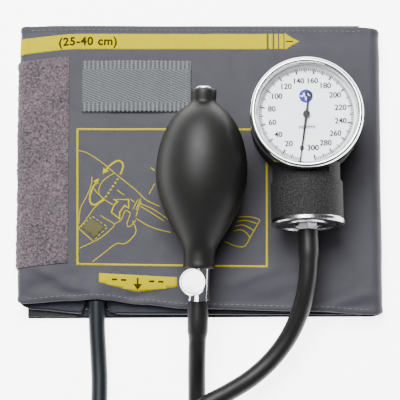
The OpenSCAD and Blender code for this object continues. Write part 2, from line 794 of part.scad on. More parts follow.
// Spring strip bent back on itself behind the case: its outer leg leans in to
// a throat that grips the strap, and ends in a flared lip
module back_clip() {
    strip = 1;
    gap = 4.6;
    leg_w = 14;
    bend_y = 18;
    throat_y = -12;
    lip_y = -19;
    bend_r = gap / 2 + strip;
    bend_z = case_back_z - bend_r;
    outer_z = case_back_z - 2 * strip - gap;
    throat_z = outer_z + 1.5;
    outer_leg = [[bend_y, outer_z], [bend_y, outer_z + strip], [throat_y, throat_z + strip],
        [lip_y, outer_z + strip + 0.2], [lip_y, outer_z + 0.2], [throat_y, throat_z]];
    color("silver") gauge_frame() difference() {
        rotate([90, 0, 90]) linear_extrude(height = leg_w, center = true) {
            translate([4, case_back_z - strip]) square([bend_y - 4, strip]);
            half_ring(bend_y, bend_z, bend_r, bend_r - strip, -1);
            polygon(outer_leg);
        }
        for (x = rivet_xs) translate([x, rivet_y, case_back_z - 2]) cylinder(r = rivet_r, h = 4);
    }
}

module clip_rivets() {
    color("gainsboro") gauge_frame() for (x = rivet_xs) translate([x, rivet_y, 0]) {
        translate([0, 0, case_back_z - 1.8]) cylinder(r = 1.5, h = 0.8);
        translate([0, 0, case_back_z - 1]) cylinder(r = rivet_r, h = 2.5);
        translate([0, 0, case_floor_z]) cylinder(r = 1.5, h = 0.5);
    }
}

cuff_shell();
cuff_lining();
bladder();
bladder_port();
pile_patch();
hook_patch();
gauge_strap();
cuff_tube();
bulb_tube();
gauge_tube();
y_connector();
bulb();
intake_body();
intake_ball();
intake_cage();
valve_body();
outlet_seat();
outlet_flap();
packing_nut();
packing_ring();
needle_spindle();
release_knob();
head_case();
drum_shell();
drum_cap();
hose_nozzle();
nozzle_nut();
capsule_rear();
capsule_front();
push_pin();
movement_plate_lower();
movement_plate_upper();
plate_pillars();
plate_screws();
sector_gear();
sector_arbor();
pointer_arbor();
hairspring();
dial_plate();
dial_ring();
pointer();
lens();
lens_gasket();
bezel();
back_clip();
clip_rivets();
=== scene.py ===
"""The look of an upper arm blood pressure monitor, built on its CAD frame.

A folded nylon cuff lies flat, with a rubber squeeze bulb and a dial gauge on it, and three rubber tubes
leave its lower edge. Lengths below are in millimetres unless a name says otherwise, and MM turns them into
metres.
"""

import json
import math

import bmesh
import bpy
from mathutils import Matrix, Vector, noise
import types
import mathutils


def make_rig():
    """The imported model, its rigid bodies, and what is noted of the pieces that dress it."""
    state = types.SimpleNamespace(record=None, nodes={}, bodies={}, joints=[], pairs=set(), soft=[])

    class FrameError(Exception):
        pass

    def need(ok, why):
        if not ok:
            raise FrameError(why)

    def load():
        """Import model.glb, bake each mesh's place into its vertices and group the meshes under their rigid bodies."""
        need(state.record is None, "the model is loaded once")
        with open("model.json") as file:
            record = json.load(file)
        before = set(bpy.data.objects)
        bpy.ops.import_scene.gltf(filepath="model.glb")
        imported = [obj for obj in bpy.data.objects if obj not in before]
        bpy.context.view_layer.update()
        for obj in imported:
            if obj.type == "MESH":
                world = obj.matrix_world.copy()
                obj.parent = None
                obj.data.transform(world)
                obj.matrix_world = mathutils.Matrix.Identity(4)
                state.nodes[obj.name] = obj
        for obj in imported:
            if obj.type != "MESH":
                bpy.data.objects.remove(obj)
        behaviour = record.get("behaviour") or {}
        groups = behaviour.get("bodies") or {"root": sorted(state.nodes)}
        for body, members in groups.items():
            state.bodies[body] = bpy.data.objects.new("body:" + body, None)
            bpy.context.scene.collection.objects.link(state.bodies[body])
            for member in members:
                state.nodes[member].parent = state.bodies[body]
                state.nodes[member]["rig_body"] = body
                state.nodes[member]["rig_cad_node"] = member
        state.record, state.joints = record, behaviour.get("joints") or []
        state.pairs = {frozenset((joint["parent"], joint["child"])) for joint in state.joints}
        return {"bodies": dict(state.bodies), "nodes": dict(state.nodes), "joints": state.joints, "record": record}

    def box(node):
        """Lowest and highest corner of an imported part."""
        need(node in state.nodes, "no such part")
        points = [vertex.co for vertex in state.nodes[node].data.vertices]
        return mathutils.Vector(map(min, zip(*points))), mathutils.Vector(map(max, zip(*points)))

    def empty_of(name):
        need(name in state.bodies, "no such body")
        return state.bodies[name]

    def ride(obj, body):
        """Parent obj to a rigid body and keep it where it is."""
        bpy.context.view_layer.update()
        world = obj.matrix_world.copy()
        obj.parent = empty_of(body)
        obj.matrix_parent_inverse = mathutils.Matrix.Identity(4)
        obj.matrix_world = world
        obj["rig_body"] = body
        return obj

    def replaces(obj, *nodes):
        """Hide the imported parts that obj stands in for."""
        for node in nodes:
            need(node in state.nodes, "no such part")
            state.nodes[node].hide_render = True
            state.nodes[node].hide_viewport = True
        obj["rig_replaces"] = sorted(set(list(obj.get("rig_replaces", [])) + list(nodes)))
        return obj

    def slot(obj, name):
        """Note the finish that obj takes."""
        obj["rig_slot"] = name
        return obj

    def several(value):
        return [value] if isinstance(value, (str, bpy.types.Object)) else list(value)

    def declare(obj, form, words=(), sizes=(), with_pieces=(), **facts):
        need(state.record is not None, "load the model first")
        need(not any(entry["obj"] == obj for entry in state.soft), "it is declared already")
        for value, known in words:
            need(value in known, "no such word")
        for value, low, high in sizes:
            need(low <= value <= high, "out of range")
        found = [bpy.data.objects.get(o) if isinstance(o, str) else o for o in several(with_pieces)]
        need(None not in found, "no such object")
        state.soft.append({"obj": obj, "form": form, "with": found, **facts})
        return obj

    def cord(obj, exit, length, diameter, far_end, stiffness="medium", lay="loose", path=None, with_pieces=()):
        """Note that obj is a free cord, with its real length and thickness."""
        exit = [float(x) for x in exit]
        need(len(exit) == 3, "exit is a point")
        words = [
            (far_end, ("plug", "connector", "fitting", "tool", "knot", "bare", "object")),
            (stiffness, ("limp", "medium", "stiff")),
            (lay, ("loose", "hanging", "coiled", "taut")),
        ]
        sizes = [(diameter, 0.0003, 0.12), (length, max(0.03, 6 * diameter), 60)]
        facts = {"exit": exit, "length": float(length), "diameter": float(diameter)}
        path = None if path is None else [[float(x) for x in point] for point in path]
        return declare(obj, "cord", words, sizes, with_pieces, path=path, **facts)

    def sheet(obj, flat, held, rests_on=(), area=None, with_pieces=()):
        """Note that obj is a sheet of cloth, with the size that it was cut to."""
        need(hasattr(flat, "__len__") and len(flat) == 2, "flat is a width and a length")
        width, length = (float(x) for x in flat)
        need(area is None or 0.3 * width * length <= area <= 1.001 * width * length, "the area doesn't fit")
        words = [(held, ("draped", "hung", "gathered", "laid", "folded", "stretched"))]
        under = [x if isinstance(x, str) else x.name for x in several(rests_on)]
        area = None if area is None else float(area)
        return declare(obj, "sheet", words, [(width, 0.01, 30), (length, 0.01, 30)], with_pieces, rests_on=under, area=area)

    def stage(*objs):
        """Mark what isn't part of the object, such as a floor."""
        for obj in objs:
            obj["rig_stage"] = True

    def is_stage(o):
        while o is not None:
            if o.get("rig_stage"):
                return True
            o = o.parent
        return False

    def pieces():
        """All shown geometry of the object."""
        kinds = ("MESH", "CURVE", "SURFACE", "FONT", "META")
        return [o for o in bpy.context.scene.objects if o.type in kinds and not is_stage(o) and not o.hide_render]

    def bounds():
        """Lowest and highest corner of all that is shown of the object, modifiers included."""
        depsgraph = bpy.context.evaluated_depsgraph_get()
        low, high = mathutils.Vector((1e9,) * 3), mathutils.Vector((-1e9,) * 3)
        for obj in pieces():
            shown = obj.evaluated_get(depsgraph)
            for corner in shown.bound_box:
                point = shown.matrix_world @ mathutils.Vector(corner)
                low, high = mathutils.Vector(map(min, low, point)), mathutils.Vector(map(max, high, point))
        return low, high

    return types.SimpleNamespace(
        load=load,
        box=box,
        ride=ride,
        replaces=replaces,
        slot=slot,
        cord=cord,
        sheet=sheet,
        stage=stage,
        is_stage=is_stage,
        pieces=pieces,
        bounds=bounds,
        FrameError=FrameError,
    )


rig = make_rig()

MM = 0.001
ROOT = "monitor"
UP = Vector((0, 0, 1))

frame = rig.load()
cad_low, cad_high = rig.bounds()
nodes = frame["nodes"]
joints = {joint["name"]: joint for joint in frame["joints"]}


def smooth(low, high, x):
    """0 below low, 1 above high, and a smooth step between."""
    t = min(1.0, max(0.0, (x - low) / (high - low)))
    return t * t * (3 - 2 * t)


def along(table, x):
    """A smooth reading of a table of (x, value) rows, held at its ends."""
    if x <= table[0][0]:
        return table[0][1]
    for (x0, v0), (x1, v1) in zip(table, table[1:]):
        if x <= x1:
            return v0 + (v1 - v0) * smooth(x0, x1, x)
    return table[-1][1]


def box_mm(node):
    """A node's lowest and highest corner, in millimetres."""
    low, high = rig.box(node)
    return low / MM, high / MM


# ---- Frames of the bulb and the gauge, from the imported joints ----


def axis_frame(origin, y_axis, z_axis):
    """The matrix, in metres, of a frame with that origin, Y axis and Z axis."""
    x_axis = y_axis.cross(z_axis).normalized()
    z_axis = x_axis.cross(y_axis)
    matrix = Matrix((x_axis, y_axis, z_axis)).transposed().to_4x4()
    matrix.translation = origin
    return matrix


def joint_axis(name):
    """A joint's axis, as a unit vector."""
    return Vector(joints[name]["axis"]).normalized()


BALL_TO_WIDEST = 37.04  # from the inlet ball's middle back to the bulb's widest ring
inlet_direction = -joint_axis("inlet_ball_lift")
ball_low, ball_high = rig.box("intake_ball")
bulb_origin = (ball_low + ball_high) / 2 - inlet_direction * BALL_TO_WIDEST * MM
bulb_frame = axis_frame(bulb_origin, inlet_direction, UP)
gauge_frame = axis_frame(
    Vector(joints["pointer_turn"]["pos_m"]), joint_axis("capsule_push"), -joint_axis("pointer_turn")
)


# ---- Materials ----


class Paint:
    """One procedural material, and short calls for the nodes that it is made of."""

    def __init__(self, name, rough=0.5, metal=0.0, sheen=0.0, specular=0.5):
        self.material = bpy.data.materials.new(name)
        self.material.use_nodes = True
        self.tree = self.material.node_tree
        self.shader = self.tree.nodes["Principled BSDF"]
        self.set("Roughness", rough)
        self.set("Metallic", metal)
        self.set("Sheen Weight", sheen)
        self.set("Specular IOR Level", specular)
        self.place = self.tree.nodes.new("ShaderNodeTexCoord").outputs["Object"]

    def set(self, name, value):
        self.shader.inputs[name].default_value = value

    def feed(self, value, socket):
        """Links a socket, or sets a plain value or colour."""
        if isinstance(value, bpy.types.NodeSocket):
            self.tree.links.new(value, socket)
        elif isinstance(value, (tuple, list)) and len(value) == 3 and len(socket.default_value) == 4:
            socket.default_value = (*value, 1.0)
        else:
            socket.default_value = value

    def turned(self, degrees):
        """The place on the object, turned about Z."""
        node = self.tree.nodes.new("ShaderNodeMapping")
        node.inputs["Rotation"].default_value = (0, 0, math.radians(degrees))
        self.tree.links.new(self.place, node.inputs["Vector"])
        return node.outputs["Vector"]

    def noise(self, size, detail=2.0, distortion=0.0):
        """Noise with features of about that size in millimetres."""
        node = self.tree.nodes.new("ShaderNodeTexNoise")
        node.inputs["Scale"].default_value = 1 / (size * MM)
        node.inputs["Detail"].default_value = detail
        node.inputs["Distortion"].default_value = distortion
        self.tree.links.new(self.place, node.inputs["Vector"])
        return node.outputs["Fac"]

    def waves(self, pitch, direction="X", turn=0.0, distortion=0.0):
        """Even bands of that pitch in millimetres across X, Y or Z."""
        node = self.tree.nodes.new("ShaderNodeTexWave")
        node.bands_direction = direction
        node.inputs["Scale"].default_value = 2 * math.pi / (20 * pitch * MM)
        node.inputs["Distortion"].default_value = distortion
        node.inputs["Detail"].default_value = 1.0
        self.tree.links.new(self.turned(turn), node.inputs["Vector"])
        return node.outputs["Fac"]

    def attribute(self, name):
        node = self.tree.nodes.new("ShaderNodeAttribute")
        node.attribute_name = name
        return node.outputs["Fac"]

    def ramp(self, fac, *stops):
        """A colour ramp through (position, colour) stops."""
        node = self.tree.nodes.new("ShaderNodeValToRGB")
        elements = node.color_ramp.elements
        while len(elements) < len(stops):
            elements.new(0.5)
        for element, (position, colour) in zip(elements, stops):
            element.position = position
            element.color = (*colour, 1.0)
        self.tree.links.new(fac, node.inputs["Fac"])
        return node.outputs["Color"]

    def math(self, operation, a, b=0.0):
        node = self.tree.nodes.new("ShaderNodeMath")
        node.operation = operation
        self.feed(a, node.inputs[0])
        self.feed(b, node.inputs[1])
        return node.outputs[0]

    def mix(self, fac, a, b, blend="MIX"):
        node = self.tree.nodes.new("ShaderNodeMix")
        node.data_type = "RGBA"
        node.blend_type = blend
        self.feed(fac, node.inputs["Factor"])
        self.feed(a, node.inputs["A"])
        self.feed(b, node.inputs["B"])
        return node.outputs["Result"]

    def colour(self, value):
        self.feed(value, self.shader.inputs["Base Color"])
        return self

    def rough(self, fac, low, high):
        """Roughness that runs from low to high with fac."""
        node = self.tree.nodes.new("ShaderNodeMapRange")
        node.inputs["To Min"].default_value = low
        node.inputs["To Max"].default_value = high
        self.tree.links.new(fac, node.inputs["Value"])
        self.tree.links.new(node.outputs["Result"], self.shader.inputs["Roughness"])
        return self

    def bump(self, height, depth):
        """A bump of that depth in millimetres; a second call adds to the first."""
        node = self.tree.nodes.new("ShaderNodeBump")
        node.inputs["Distance"].default_value = depth * MM
        self.tree.links.new(height, node.inputs["Height"])
        before = self.shader.inputs["Normal"].links
        if before:
            self.tree.links.new(before[0].from_socket, node.inputs["Normal"])
        self.tree.links.new(node.outputs["Normal"], self.shader.inputs["Normal"])
        return self


def weave(paint):
    """The height of a fine plain weave."""
    return paint.math("MULTIPLY", paint.waves(WEAVE_PITCH, "X"), paint.waves(WEAVE_PITCH, "Y"))


def cloth_paint(name, colour, dark, rough, sheen):
    """Fine plain-woven cloth."""
    paint = Paint(name, rough, sheen=sheen, specular=0.2)
    paint.colour(paint.mix(paint.noise(9, 4), dark, colour))
    paint.bump(weave(paint), 0.05).bump(paint.noise(3.5, 3), 0.05)
    paint.rough(paint.noise(6, 3), rough - 0.08, rough + 0.08)
    return paint.material


def rubber_paint(name, colour, rough, grain):
    """Dull rubber or plastic with a fine grain."""
    paint = Paint(name, rough, specular=0.18)
    lighter = tuple(1.5 * c for c in colour)
    paint.colour(paint.mix(paint.noise(12, 3), colour, lighter))
    paint.rough(paint.noise(4, 4), rough - 0.05, rough + 0.06)
    paint.bump(paint.noise(grain, 2), 0.02)
    return paint.material


def metal_paint(name, colour, rough):
    """Bare metal with uneven polish."""
    grain = 0.3
    paint = Paint(name, rough, metal=1.0)
    paint.colour(paint.mix(paint.noise(5, 3), colour, tuple(0.93 * c for c in colour)))
    paint.rough(paint.noise(grain * 8, 4), rough * 0.7, rough * 1.4)
    paint.bump(paint.noise(grain, 2), 0.002)
    return paint.material


def crackle_paint(name):
    """Black wrinkle paint with small light specks, painted glints that stand in for light caught on the wrinkles."""
    paint = Paint(name, 0.7, specular=0.1)
    # light specks: painted glints, not a colour of the paint
    painted_glints = paint.ramp(paint.noise(0.6, 3), (0.42, (0, 0, 0)), (0.7, (1, 1, 1)))
    paint.colour(paint.mix(painted_glints, (0.006, 0.006, 0.0065), (0.028, 0.028, 0.028)))
    paint.bump(paint.noise(0.8, 3), 0.16)
    return paint.material


def pile_paint(name):
    """Mauve loop tape: matted fibres coloured by the same tufts noise as the bump, with painted shade in the gaps and
    a painted highlight on the loops.
    """
    paint = Paint(name, 0.95, sheen=0.05, specular=0.1)
    tufts = paint.noise(0.95, 6, distortion=0.6)
    # painted shade in the low gaps and a painted highlight on the high loops, from the bump's own tufts noise
    tuft_shade_and_highlight = paint.ramp(
        tufts, (0.3, (0.028, 0.023, 0.026)), (0.48, (0.07, 0.058, 0.064)), (0.68, (0.13, 0.112, 0.12))
    )
    patches = paint.ramp(paint.noise(14, 3), (0.35, (0.82, 0.82, 0.84)), (0.65, (1.08, 1.0, 1.03)))
    paint.colour(paint.mix(1.0, tuft_shade_and_highlight, patches, "MULTIPLY"))
    paint.bump(paint.noise(0.7, 5), 0.5).bump(tufts, 0.6)
    return paint.material


def thread_paint(name, dark, light):
    """Yarn coloured by the mesh's own thread height: painted shade where the yarn is low, a painted highlight where it
    is high.
    """
    paint = Paint(name, 0.7, sheen=0.1, specular=0.3)
    height = paint.attribute("thread")
    # painted shade at low thread height, painted highlight at the top
    paint.colour(paint.ramp(height, (0.0, dark), (0.55, light), (1.0, tuple(1.35 * c for c in light))))
    paint.bump(paint.noise(0.35, 3), 0.08)
    return paint.material


def webbing_paint(name):
    """Grey webbing: a fine diagonal twill between two ribbed borders, with painted shade in the low yarn and a painted
    highlight on the high yarn.
    """
    paint = Paint(name, 0.7, sheen=0.1, specular=0.3)
    # the three colours run from painted shade in the low yarn to a painted highlight on the high yarn
    dark, light, ridge_highlight = (0.02, 0.0225, 0.025), (0.06, 0.066, 0.07), (0.1, 0.109, 0.115)
    diagonal = paint.waves(TWILL_PITCH, "X", TWILL_TURN)
    strands = paint.waves(0.8, "X", -20, 1.0)
    twill = paint.math("ADD", paint.math("MULTIPLY", diagonal, 0.6), paint.math("MULTIPLY", strands, 0.4))
    height = paint.mix(paint.attribute("middle"), paint.attribute("thread"), twill)
    shaded_height = paint.math("ADD", height, paint.math("MULTIPLY", paint.noise(0.7, 3), 0.5))
    paint.colour(paint.ramp(shaded_height, (0.45, dark), (0.75, light), (1.0, ridge_highlight)))
    paint.bump(height, 0.25).bump(paint.noise(0.35, 3), 0.08)
    return paint.material


def ink_paint(name, colour):
    """Screen-printed ink that lets a little of the weave show."""
    paint = Paint(name, 0.45, specular=0.0)
    paint.colour(paint.mix(paint.noise(5, 4), colour, tuple(0.86 * c for c in colour)))
    paint.bump(weave(paint), 0.03)
    return paint.material


def enamel_paint(name, colour, rough=0.3):
    """Smooth enamel or dial paint."""
    paint = Paint(name, rough, specular=0.08)
    paint.colour(paint.mix(paint.noise(7, 3), colour, tuple(0.97 * c for c in colour)))
    paint.rough(paint.noise(3, 3), rough - 0.04, rough + 0.05)
    return paint.material


def glass_paint(name):
    """Clear cover: see-through, with mirror reflections that grow at a slant."""
    paint = Paint(name)
    tree = paint.tree
    clear = tree.nodes.new("ShaderNodeBsdfTransparent")
    clear.inputs["Color"].default_value = (0.97, 0.98, 0.985, 1)
    shine = tree.nodes.new("ShaderNodeBsdfGlossy")
    paint.feed(paint.math("MULTIPLY", paint.noise(9, 2), 0.28), shine.inputs["Roughness"])
    slant = tree.nodes.new("ShaderNodeFresnel")
    slant.inputs["IOR"].default_value = 1.45
    blend = tree.nodes.new("ShaderNodeMixShader")
    tree.links.new(paint.math("MULTIPLY", slant.outputs[0], 0.06), blend.inputs["Fac"])
    tree.links.new(clear.outputs[0], blend.inputs[1])
    tree.links.new(shine.outputs[0], blend.inputs[2])
    tree.links.new(blend.outputs[0], tree.nodes["Material Output"].inputs["Surface"])
    tree.nodes.remove(paint.shader)
    return paint.material


WEAVE_PITCH = 0.42
TWILL_PITCH = 1.15
TWILL_TURN = -68  # the twill falls to the right by 22 degrees
NYLON = cloth_paint("nylon_grey", (0.031, 0.0302, 0.038), (0.025, 0.0243, 0.0312), 0.6, 0.02)
NAVY = cloth_paint("nylon_navy", (0.0018, 0.003, 0.0135), (0.001, 0.0016, 0.007), 0.5, 0.0)
PILE = pile_paint("loop_tape")
WEBBING = webbing_paint("webbing")
# hook tape: dark is painted shade between the bristles, light their lit tips
HOOKS = thread_paint("hook_tape", (0.0015, 0.002, 0.003), (0.008, 0.009, 0.013))
THREAD = thread_paint("stitching", (0.07, 0.07, 0.08), (0.1, 0.1, 0.11))
# the edge rolls' nylon, paler than the cloth as a painted highlight where it turns over
EDGE_HIGHLIGHT_CLOTH = cloth_paint("edge_painted_highlight", (0.075, 0.074, 0.082), (0.055, 0.055, 0.062), 0.6, 0.05)
YELLOW = ink_paint("yellow_print", (0.34, 0.285, 0.0))
LETTER = ink_paint("dark_print", (0.03, 0.022, 0.002))
HATCH = ink_paint("olive_print", (0.075, 0.07, 0.035))
BULB_RUBBER = rubber_paint("bulb_rubber", (0.0052, 0.005, 0.0048), 0.46, 0.5)
TUBE_RUBBER = rubber_paint("tube_rubber", (0.005, 0.005, 0.0052), 0.44, 0.4)
CUFF_TUBE_RUBBER = rubber_paint("cuff_tube_rubber", (0.0035, 0.0055, 0.0075), 0.42, 0.4)
SEAL_RUBBER = rubber_paint("seal_rubber", (0.008, 0.007, 0.007), 0.6, 0.5)
PLASTIC = rubber_paint("connector_plastic", (0.008, 0.008, 0.009), 0.35, 1.2)
CHROME = metal_paint("chrome", (0.74, 0.74, 0.75), 0.1)
BRUSHED = metal_paint("nickel", (0.62, 0.62, 0.64), 0.26)
# nickel darkened as painted shade, for the drum cap that lies in shadow
SHADED_NICKEL = metal_paint("nickel_painted_shade", (0.4, 0.4, 0.41), 0.22)
BRASS = metal_paint("brass", (0.62, 0.45, 0.16), 0.25)
CRACKLE = crackle_paint("crackle_black")
DIAL_WHITE = enamel_paint("dial_white", (0.88, 0.885, 0.89))
# the dial's white, greyed as painted shade for the ring under the bezel's inner wall
SHADED_RING_WHITE = enamel_paint("ring_white", (0.55, 0.56, 0.57))
DIAL_BLACK = enamel_paint("dial_black", (0.008, 0.008, 0.009), 0.5)
DIAL_BLUE = enamel_paint("dial_blue", (0.004, 0.018, 0.26), 0.5)
POINTER_BLACK = enamel_paint("pointer_black", (0.005, 0.005, 0.006), 0.45)
GLASS = glass_paint("cover_glass")


# ---- Mesh makers ----


def add_object(name, data):
    """A new object in the scene."""
    piece = bpy.data.objects.new(name, data)
    bpy.context.scene.collection.objects.link(piece)
    return piece


def mesh_piece(name, points, faces, material):
    """A smooth mesh piece from points in metres, riding on the main body."""
    mesh = bpy.data.meshes.new(name)
    mesh.from_pydata([tuple(p) for p in points], [], faces)
    mesh.update()
    mesh.polygons.foreach_set("use_smooth", [True] * len(mesh.polygons))
    mesh.materials.append(material)
    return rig.ride(add_object(name, mesh), ROOT)


def keep_edges(piece, degrees=35):
    """Smooth shading that keeps edges sharper than that angle."""
    mesh = piece.data
    shape = bmesh.new()
    shape.from_mesh(mesh)
    for edge in shape.edges:
        edge.smooth = edge.calc_face_angle(0) < math.radians(degrees)
    shape.to_mesh(mesh)
    shape.free()
    return piece


def lathe(name, outline, matrix, material, sides=96, axis="Y"):
    """Turns a closed outline of (radius, height) round the frame's Y or Z axis."""
    points = []
    for radius, height in outline:
        for k in range(sides):
            a = 2 * math.pi * k / sides
            x, z = radius * math.cos(a), radius * math.sin(a)
            local = Vector((x, height, -z)) if axis == "Y" else Vector((x, z, height))
            points.append(matrix @ (local * MM))
    faces = []
    for i in range(len(outline)):
        a, b = i * sides, (i + 1) % len(outline) * sides
        for k in range(sides):
            n = (k + 1) % sides
            faces.append((a + k, a + n, b + n, b + k))
    return keep_edges(outward(mesh_piece(name, points, faces, material)))


def outward(piece):
    """Turns a closed mesh's faces so that they face out."""
    shape = bmesh.new()
    shape.from_mesh(piece.data)
    bmesh.ops.recalc_face_normals(shape, faces=shape.faces)
    shape.to_mesh(piece.data)
    shape.free()
    return piece


def spline(route, per_span):
    """Points of a smooth curve through a route's points."""
    ends = [route[0] * 2 - route[1], *route, route[-1] * 2 - route[-2]]
    points = []
    for p0, p1, p2, p3 in zip(ends, ends[1:], ends[2:], ends[3:]):
        for k in range(per_span):
            t = k / per_span
            points.append(
                0.5
                * (
                    2 * p1
                    + (p2 - p0) * t
                    + (2 * p0 - 5 * p1 + 4 * p2 - p3) * t**2
                    + (3 * p1 - p0 - 3 * p2 + p3) * t**3
                )
            )
    return [*points, route[-1]]


def tube_faces(rings, sides, start=0):
    """The faces of a tube with closed ends, whose points are rings numbered from start."""
    faces = []
    for i in range(rings - 1):
        a = start + i * sides
        for k in range(sides):
            n = (k + 1) % sides
            faces.append((a + k, a + n, a + sides + n, a + sides + k))
    faces.append([start + k for k in reversed(range(sides))])
    faces.append([start + (rings - 1) * sides + k for k in range(sides)])
    return faces


def sweep(name, path, radius_at, material, bore):
    """A tube along a path, with a shallow bore in its square ends.

    radius_at gives the tube's radius at a distance along it.
    """
    sides = 24
    bore_depth = 3.0
    sections = []
    travelled = 0.0
    side = (path[1] - path[0]).cross(UP).normalized()
    for before, here, after in zip([path[0], *path], path, [*path[1:], path[-1]]):
        ahead = (after - before).normalized()
        side = (side - ahead * side.dot(ahead)).normalized()
        travelled += (here - before).length
        sections.append((here, side, ahead, radius_at(travelled)))
    (first, first_side, first_ahead, _), (last, last_side, last_ahead, _) = sections[0], sections[-1]
    sections = [
        (first + first_ahead * bore_depth, first_side, first_ahead, bore),
        (first, first_side, first_ahead, bore),
        *sections,
        (last, last_side, last_ahead, bore),
        (last - last_ahead * bore_depth, last_side, last_ahead, bore),
    ]
    points = []
    for here, side, ahead, radius in sections:
        up = side.cross(ahead)
        for k in range(sides):
            a = 2 * math.pi * k / sides
            points.append((here + (side * math.cos(a) + up * math.sin(a)) * radius) * MM)
    piece = mesh_piece(name, points, tube_faces(len(sections), sides), material)
    return keep_edges(outward(piece), 50)


# ---- Camera, floor and light ----

VIEW_CENTRE = Vector((0, -15.5, 12)) * MM
VIEW_DISTANCE = 1.2
VIEW_ELEVATION = 80  # degrees above the table
VIEW_WIDTH = 0.2  # what the view spans at its centre
FLOOR_WIDTH = 6.0
FLOOR_CLEARANCE = 0.0003
FLOOR_GLOW = 5.0
WORLD_GLOW = 0.15
KEY_POWER = 54
OVERHEAD_POWER = 22


def make_camera():
    """A long lens that looks down at the object from the front."""
    data = bpy.data.cameras.new("camera")
    data.sensor_width = 36
    data.lens = data.sensor_width * VIEW_DISTANCE / VIEW_WIDTH
    data.clip_start = 0.05
    camera = add_object("camera", data)
    slope = math.radians(VIEW_ELEVATION)
    back = Vector((0, -math.cos(slope), math.sin(slope)))
    camera.location = VIEW_CENTRE + back * VIEW_DISTANCE
    camera.rotation_euler = (-back).to_track_quat("-Z", "Y").to_euler()
    bpy.context.scene.camera = camera


def soft_light(name, place, size, power):
    """A rectangular lamp that is aimed at the origin, under the cuff's middle."""
    data = bpy.data.lights.new(name, "AREA")
    data.shape = "RECTANGLE"
    data.size, data.size_y = size
    data.energy = power
    light = add_object(name, data)
    light.location = place
    light.rotation_euler = (-Vector(place)).to_track_quat("-Z", "Y").to_euler()


def make_floor():
    """A pale sweep under the object, lit a little from within like a light table."""
    paint = Paint("floor_white", 0.9, specular=0.1)
    paint.colour(paint.mix(paint.noise(400, 1), (0.85, 0.85, 0.85), (0.87, 0.87, 0.87)))
    paint.set("Emission Color", (1, 1, 1, 1))
    paint.set("Emission Strength", FLOOR_GLOW)
    half = FLOOR_WIDTH / 2
    corners = [(-half, -half, 0), (half, -half, 0), (half, half, 0), (-half, half, 0)]
    mesh = bpy.data.meshes.new("floor")
    mesh.from_pydata(corners, [], [(0, 1, 2, 3)])
    mesh.materials.append(paint.material)
    floor = add_object("floor", mesh)
    floor.location.z = -FLOOR_CLEARANCE
    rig.stage(floor)


def make_light():
    """A faint sky and two large lamps, from behind and from above."""
    world = bpy.data.worlds.new("studio")
    bpy.context.scene.world = world
    world.use_nodes = True
    background = world.node_tree.nodes["Background"]
    background.inputs["Color"].default_value = (0.95, 0.97, 1.0, 1)
    background.inputs["Strength"].default_value = WORLD_GLOW
    soft_light("key", (-0.2, 0.62, 1.15), (0.8, 0.85), KEY_POWER)
    soft_light("overhead", (-0.3, 0.1, 1.35), (1.1, 0.9), OVERHEAD_POWER)


make_camera()


# ---- Tubes ----

TUBE_D = 8.5
TUBE_BORE_R = 2.2
BARB_STRETCH = 0.25  # how much the connector's barb widens a tube's radius
FLOOR_Z = 4.5  # the middle of a tube that lies on the table
CUFF_ROUTE = [
    (-51.5, -66, 8), (-51.2, -80, 6.5), (-50.4, -94, 5), (-49.9, -108, FLOOR_Z), (-50.6, -124, FLOOR_Z),
    (-54.5, -140, FLOOR_Z), (-61.5, -155, FLOOR_Z), (-70.5, -170, FLOOR_Z), (-79, -186, FLOOR_Z),
    (-84.5, -203, FLOOR_Z), (-85.5, -220, FLOOR_Z), (-80.5, -237, FLOOR_Z), (-70, -251, FLOOR_Z),
    (-56, -260.5, FLOOR_Z), (-40, -264, FLOOR_Z),
]
BULB_ROUTE = [
    (-1, -68.5, 26), (-1.1, -79.5, 24), (-1.4, -90, 19.5), (-1.6, -99.5, 13.5), (-1.6, -109, 8.3),
    (-1.4, -120, 5), (0, -132, FLOOR_Z), (4, -147, FLOOR_Z), (11, -161, FLOOR_Z), (20, -174, FLOOR_Z),
    (29, -188, FLOOR_Z), (35, -203, FLOOR_Z), (36.5, -219, FLOOR_Z), (32.5, -237, FLOOR_Z),
    (21.5, -254, FLOOR_Z), (4, -265.5, FLOOR_Z), (-16, -269.5, FLOOR_Z),
]
GAUGE_ROUTE = [
    (52.95, -33.9, 30.42), (53.2, -47, 30.65), (52.4, -59.5, 28), (49.6, -72, 22.4), (44, -84.3, 16.8),
    (35.6, -95.5, 13.5), (25.3, -104.8, 13), (14.4, -111.8, 14.5), (3.5, -117.8, 15.3), (-6, -125, 13.5),
    (-12.5, -136, 9.5), (-14.5, -149, 6), (-12, -162, FLOOR_Z), (-5.5, -174, FLOOR_Z), (4, -185, FLOOR_Z),
    (13, -197, FLOOR_Z), (19, -210, FLOOR_Z), (20, -224, FLOOR_Z), (15.5, -238, FLOOR_Z),
    (6, -249.5, FLOOR_Z), (-5, -256, FLOOR_Z), (-16, -258.5, FLOOR_Z),
]


def length_of(path):
    """The length along a path's points."""
    return sum((b - a).length for a, b in zip(path, path[1:]))


def rubber_tube(name, node, route, material, thin, flare=None):
    """A rubber tube with a radius of thin; flare is (radius, length) of its stretched first end."""
    path = spline([Vector(p) for p in route], 7)
    total = length_of(path)

    def radius_at(distance):
        on_connector = BARB_STRETCH * (1 - smooth(6, 12, total - distance))
        if flare is None:
            return thin + on_connector
        wide, reach = flare
        return wide + (thin - wide) * smooth(reach, reach + 5, distance) + on_connector

    piece = sweep(name, path, radius_at, material, TUBE_BORE_R)
    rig.replaces(piece, node)
    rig.slot(piece, "tube_rubber")
    return piece, [p * MM for p in path], total * MM


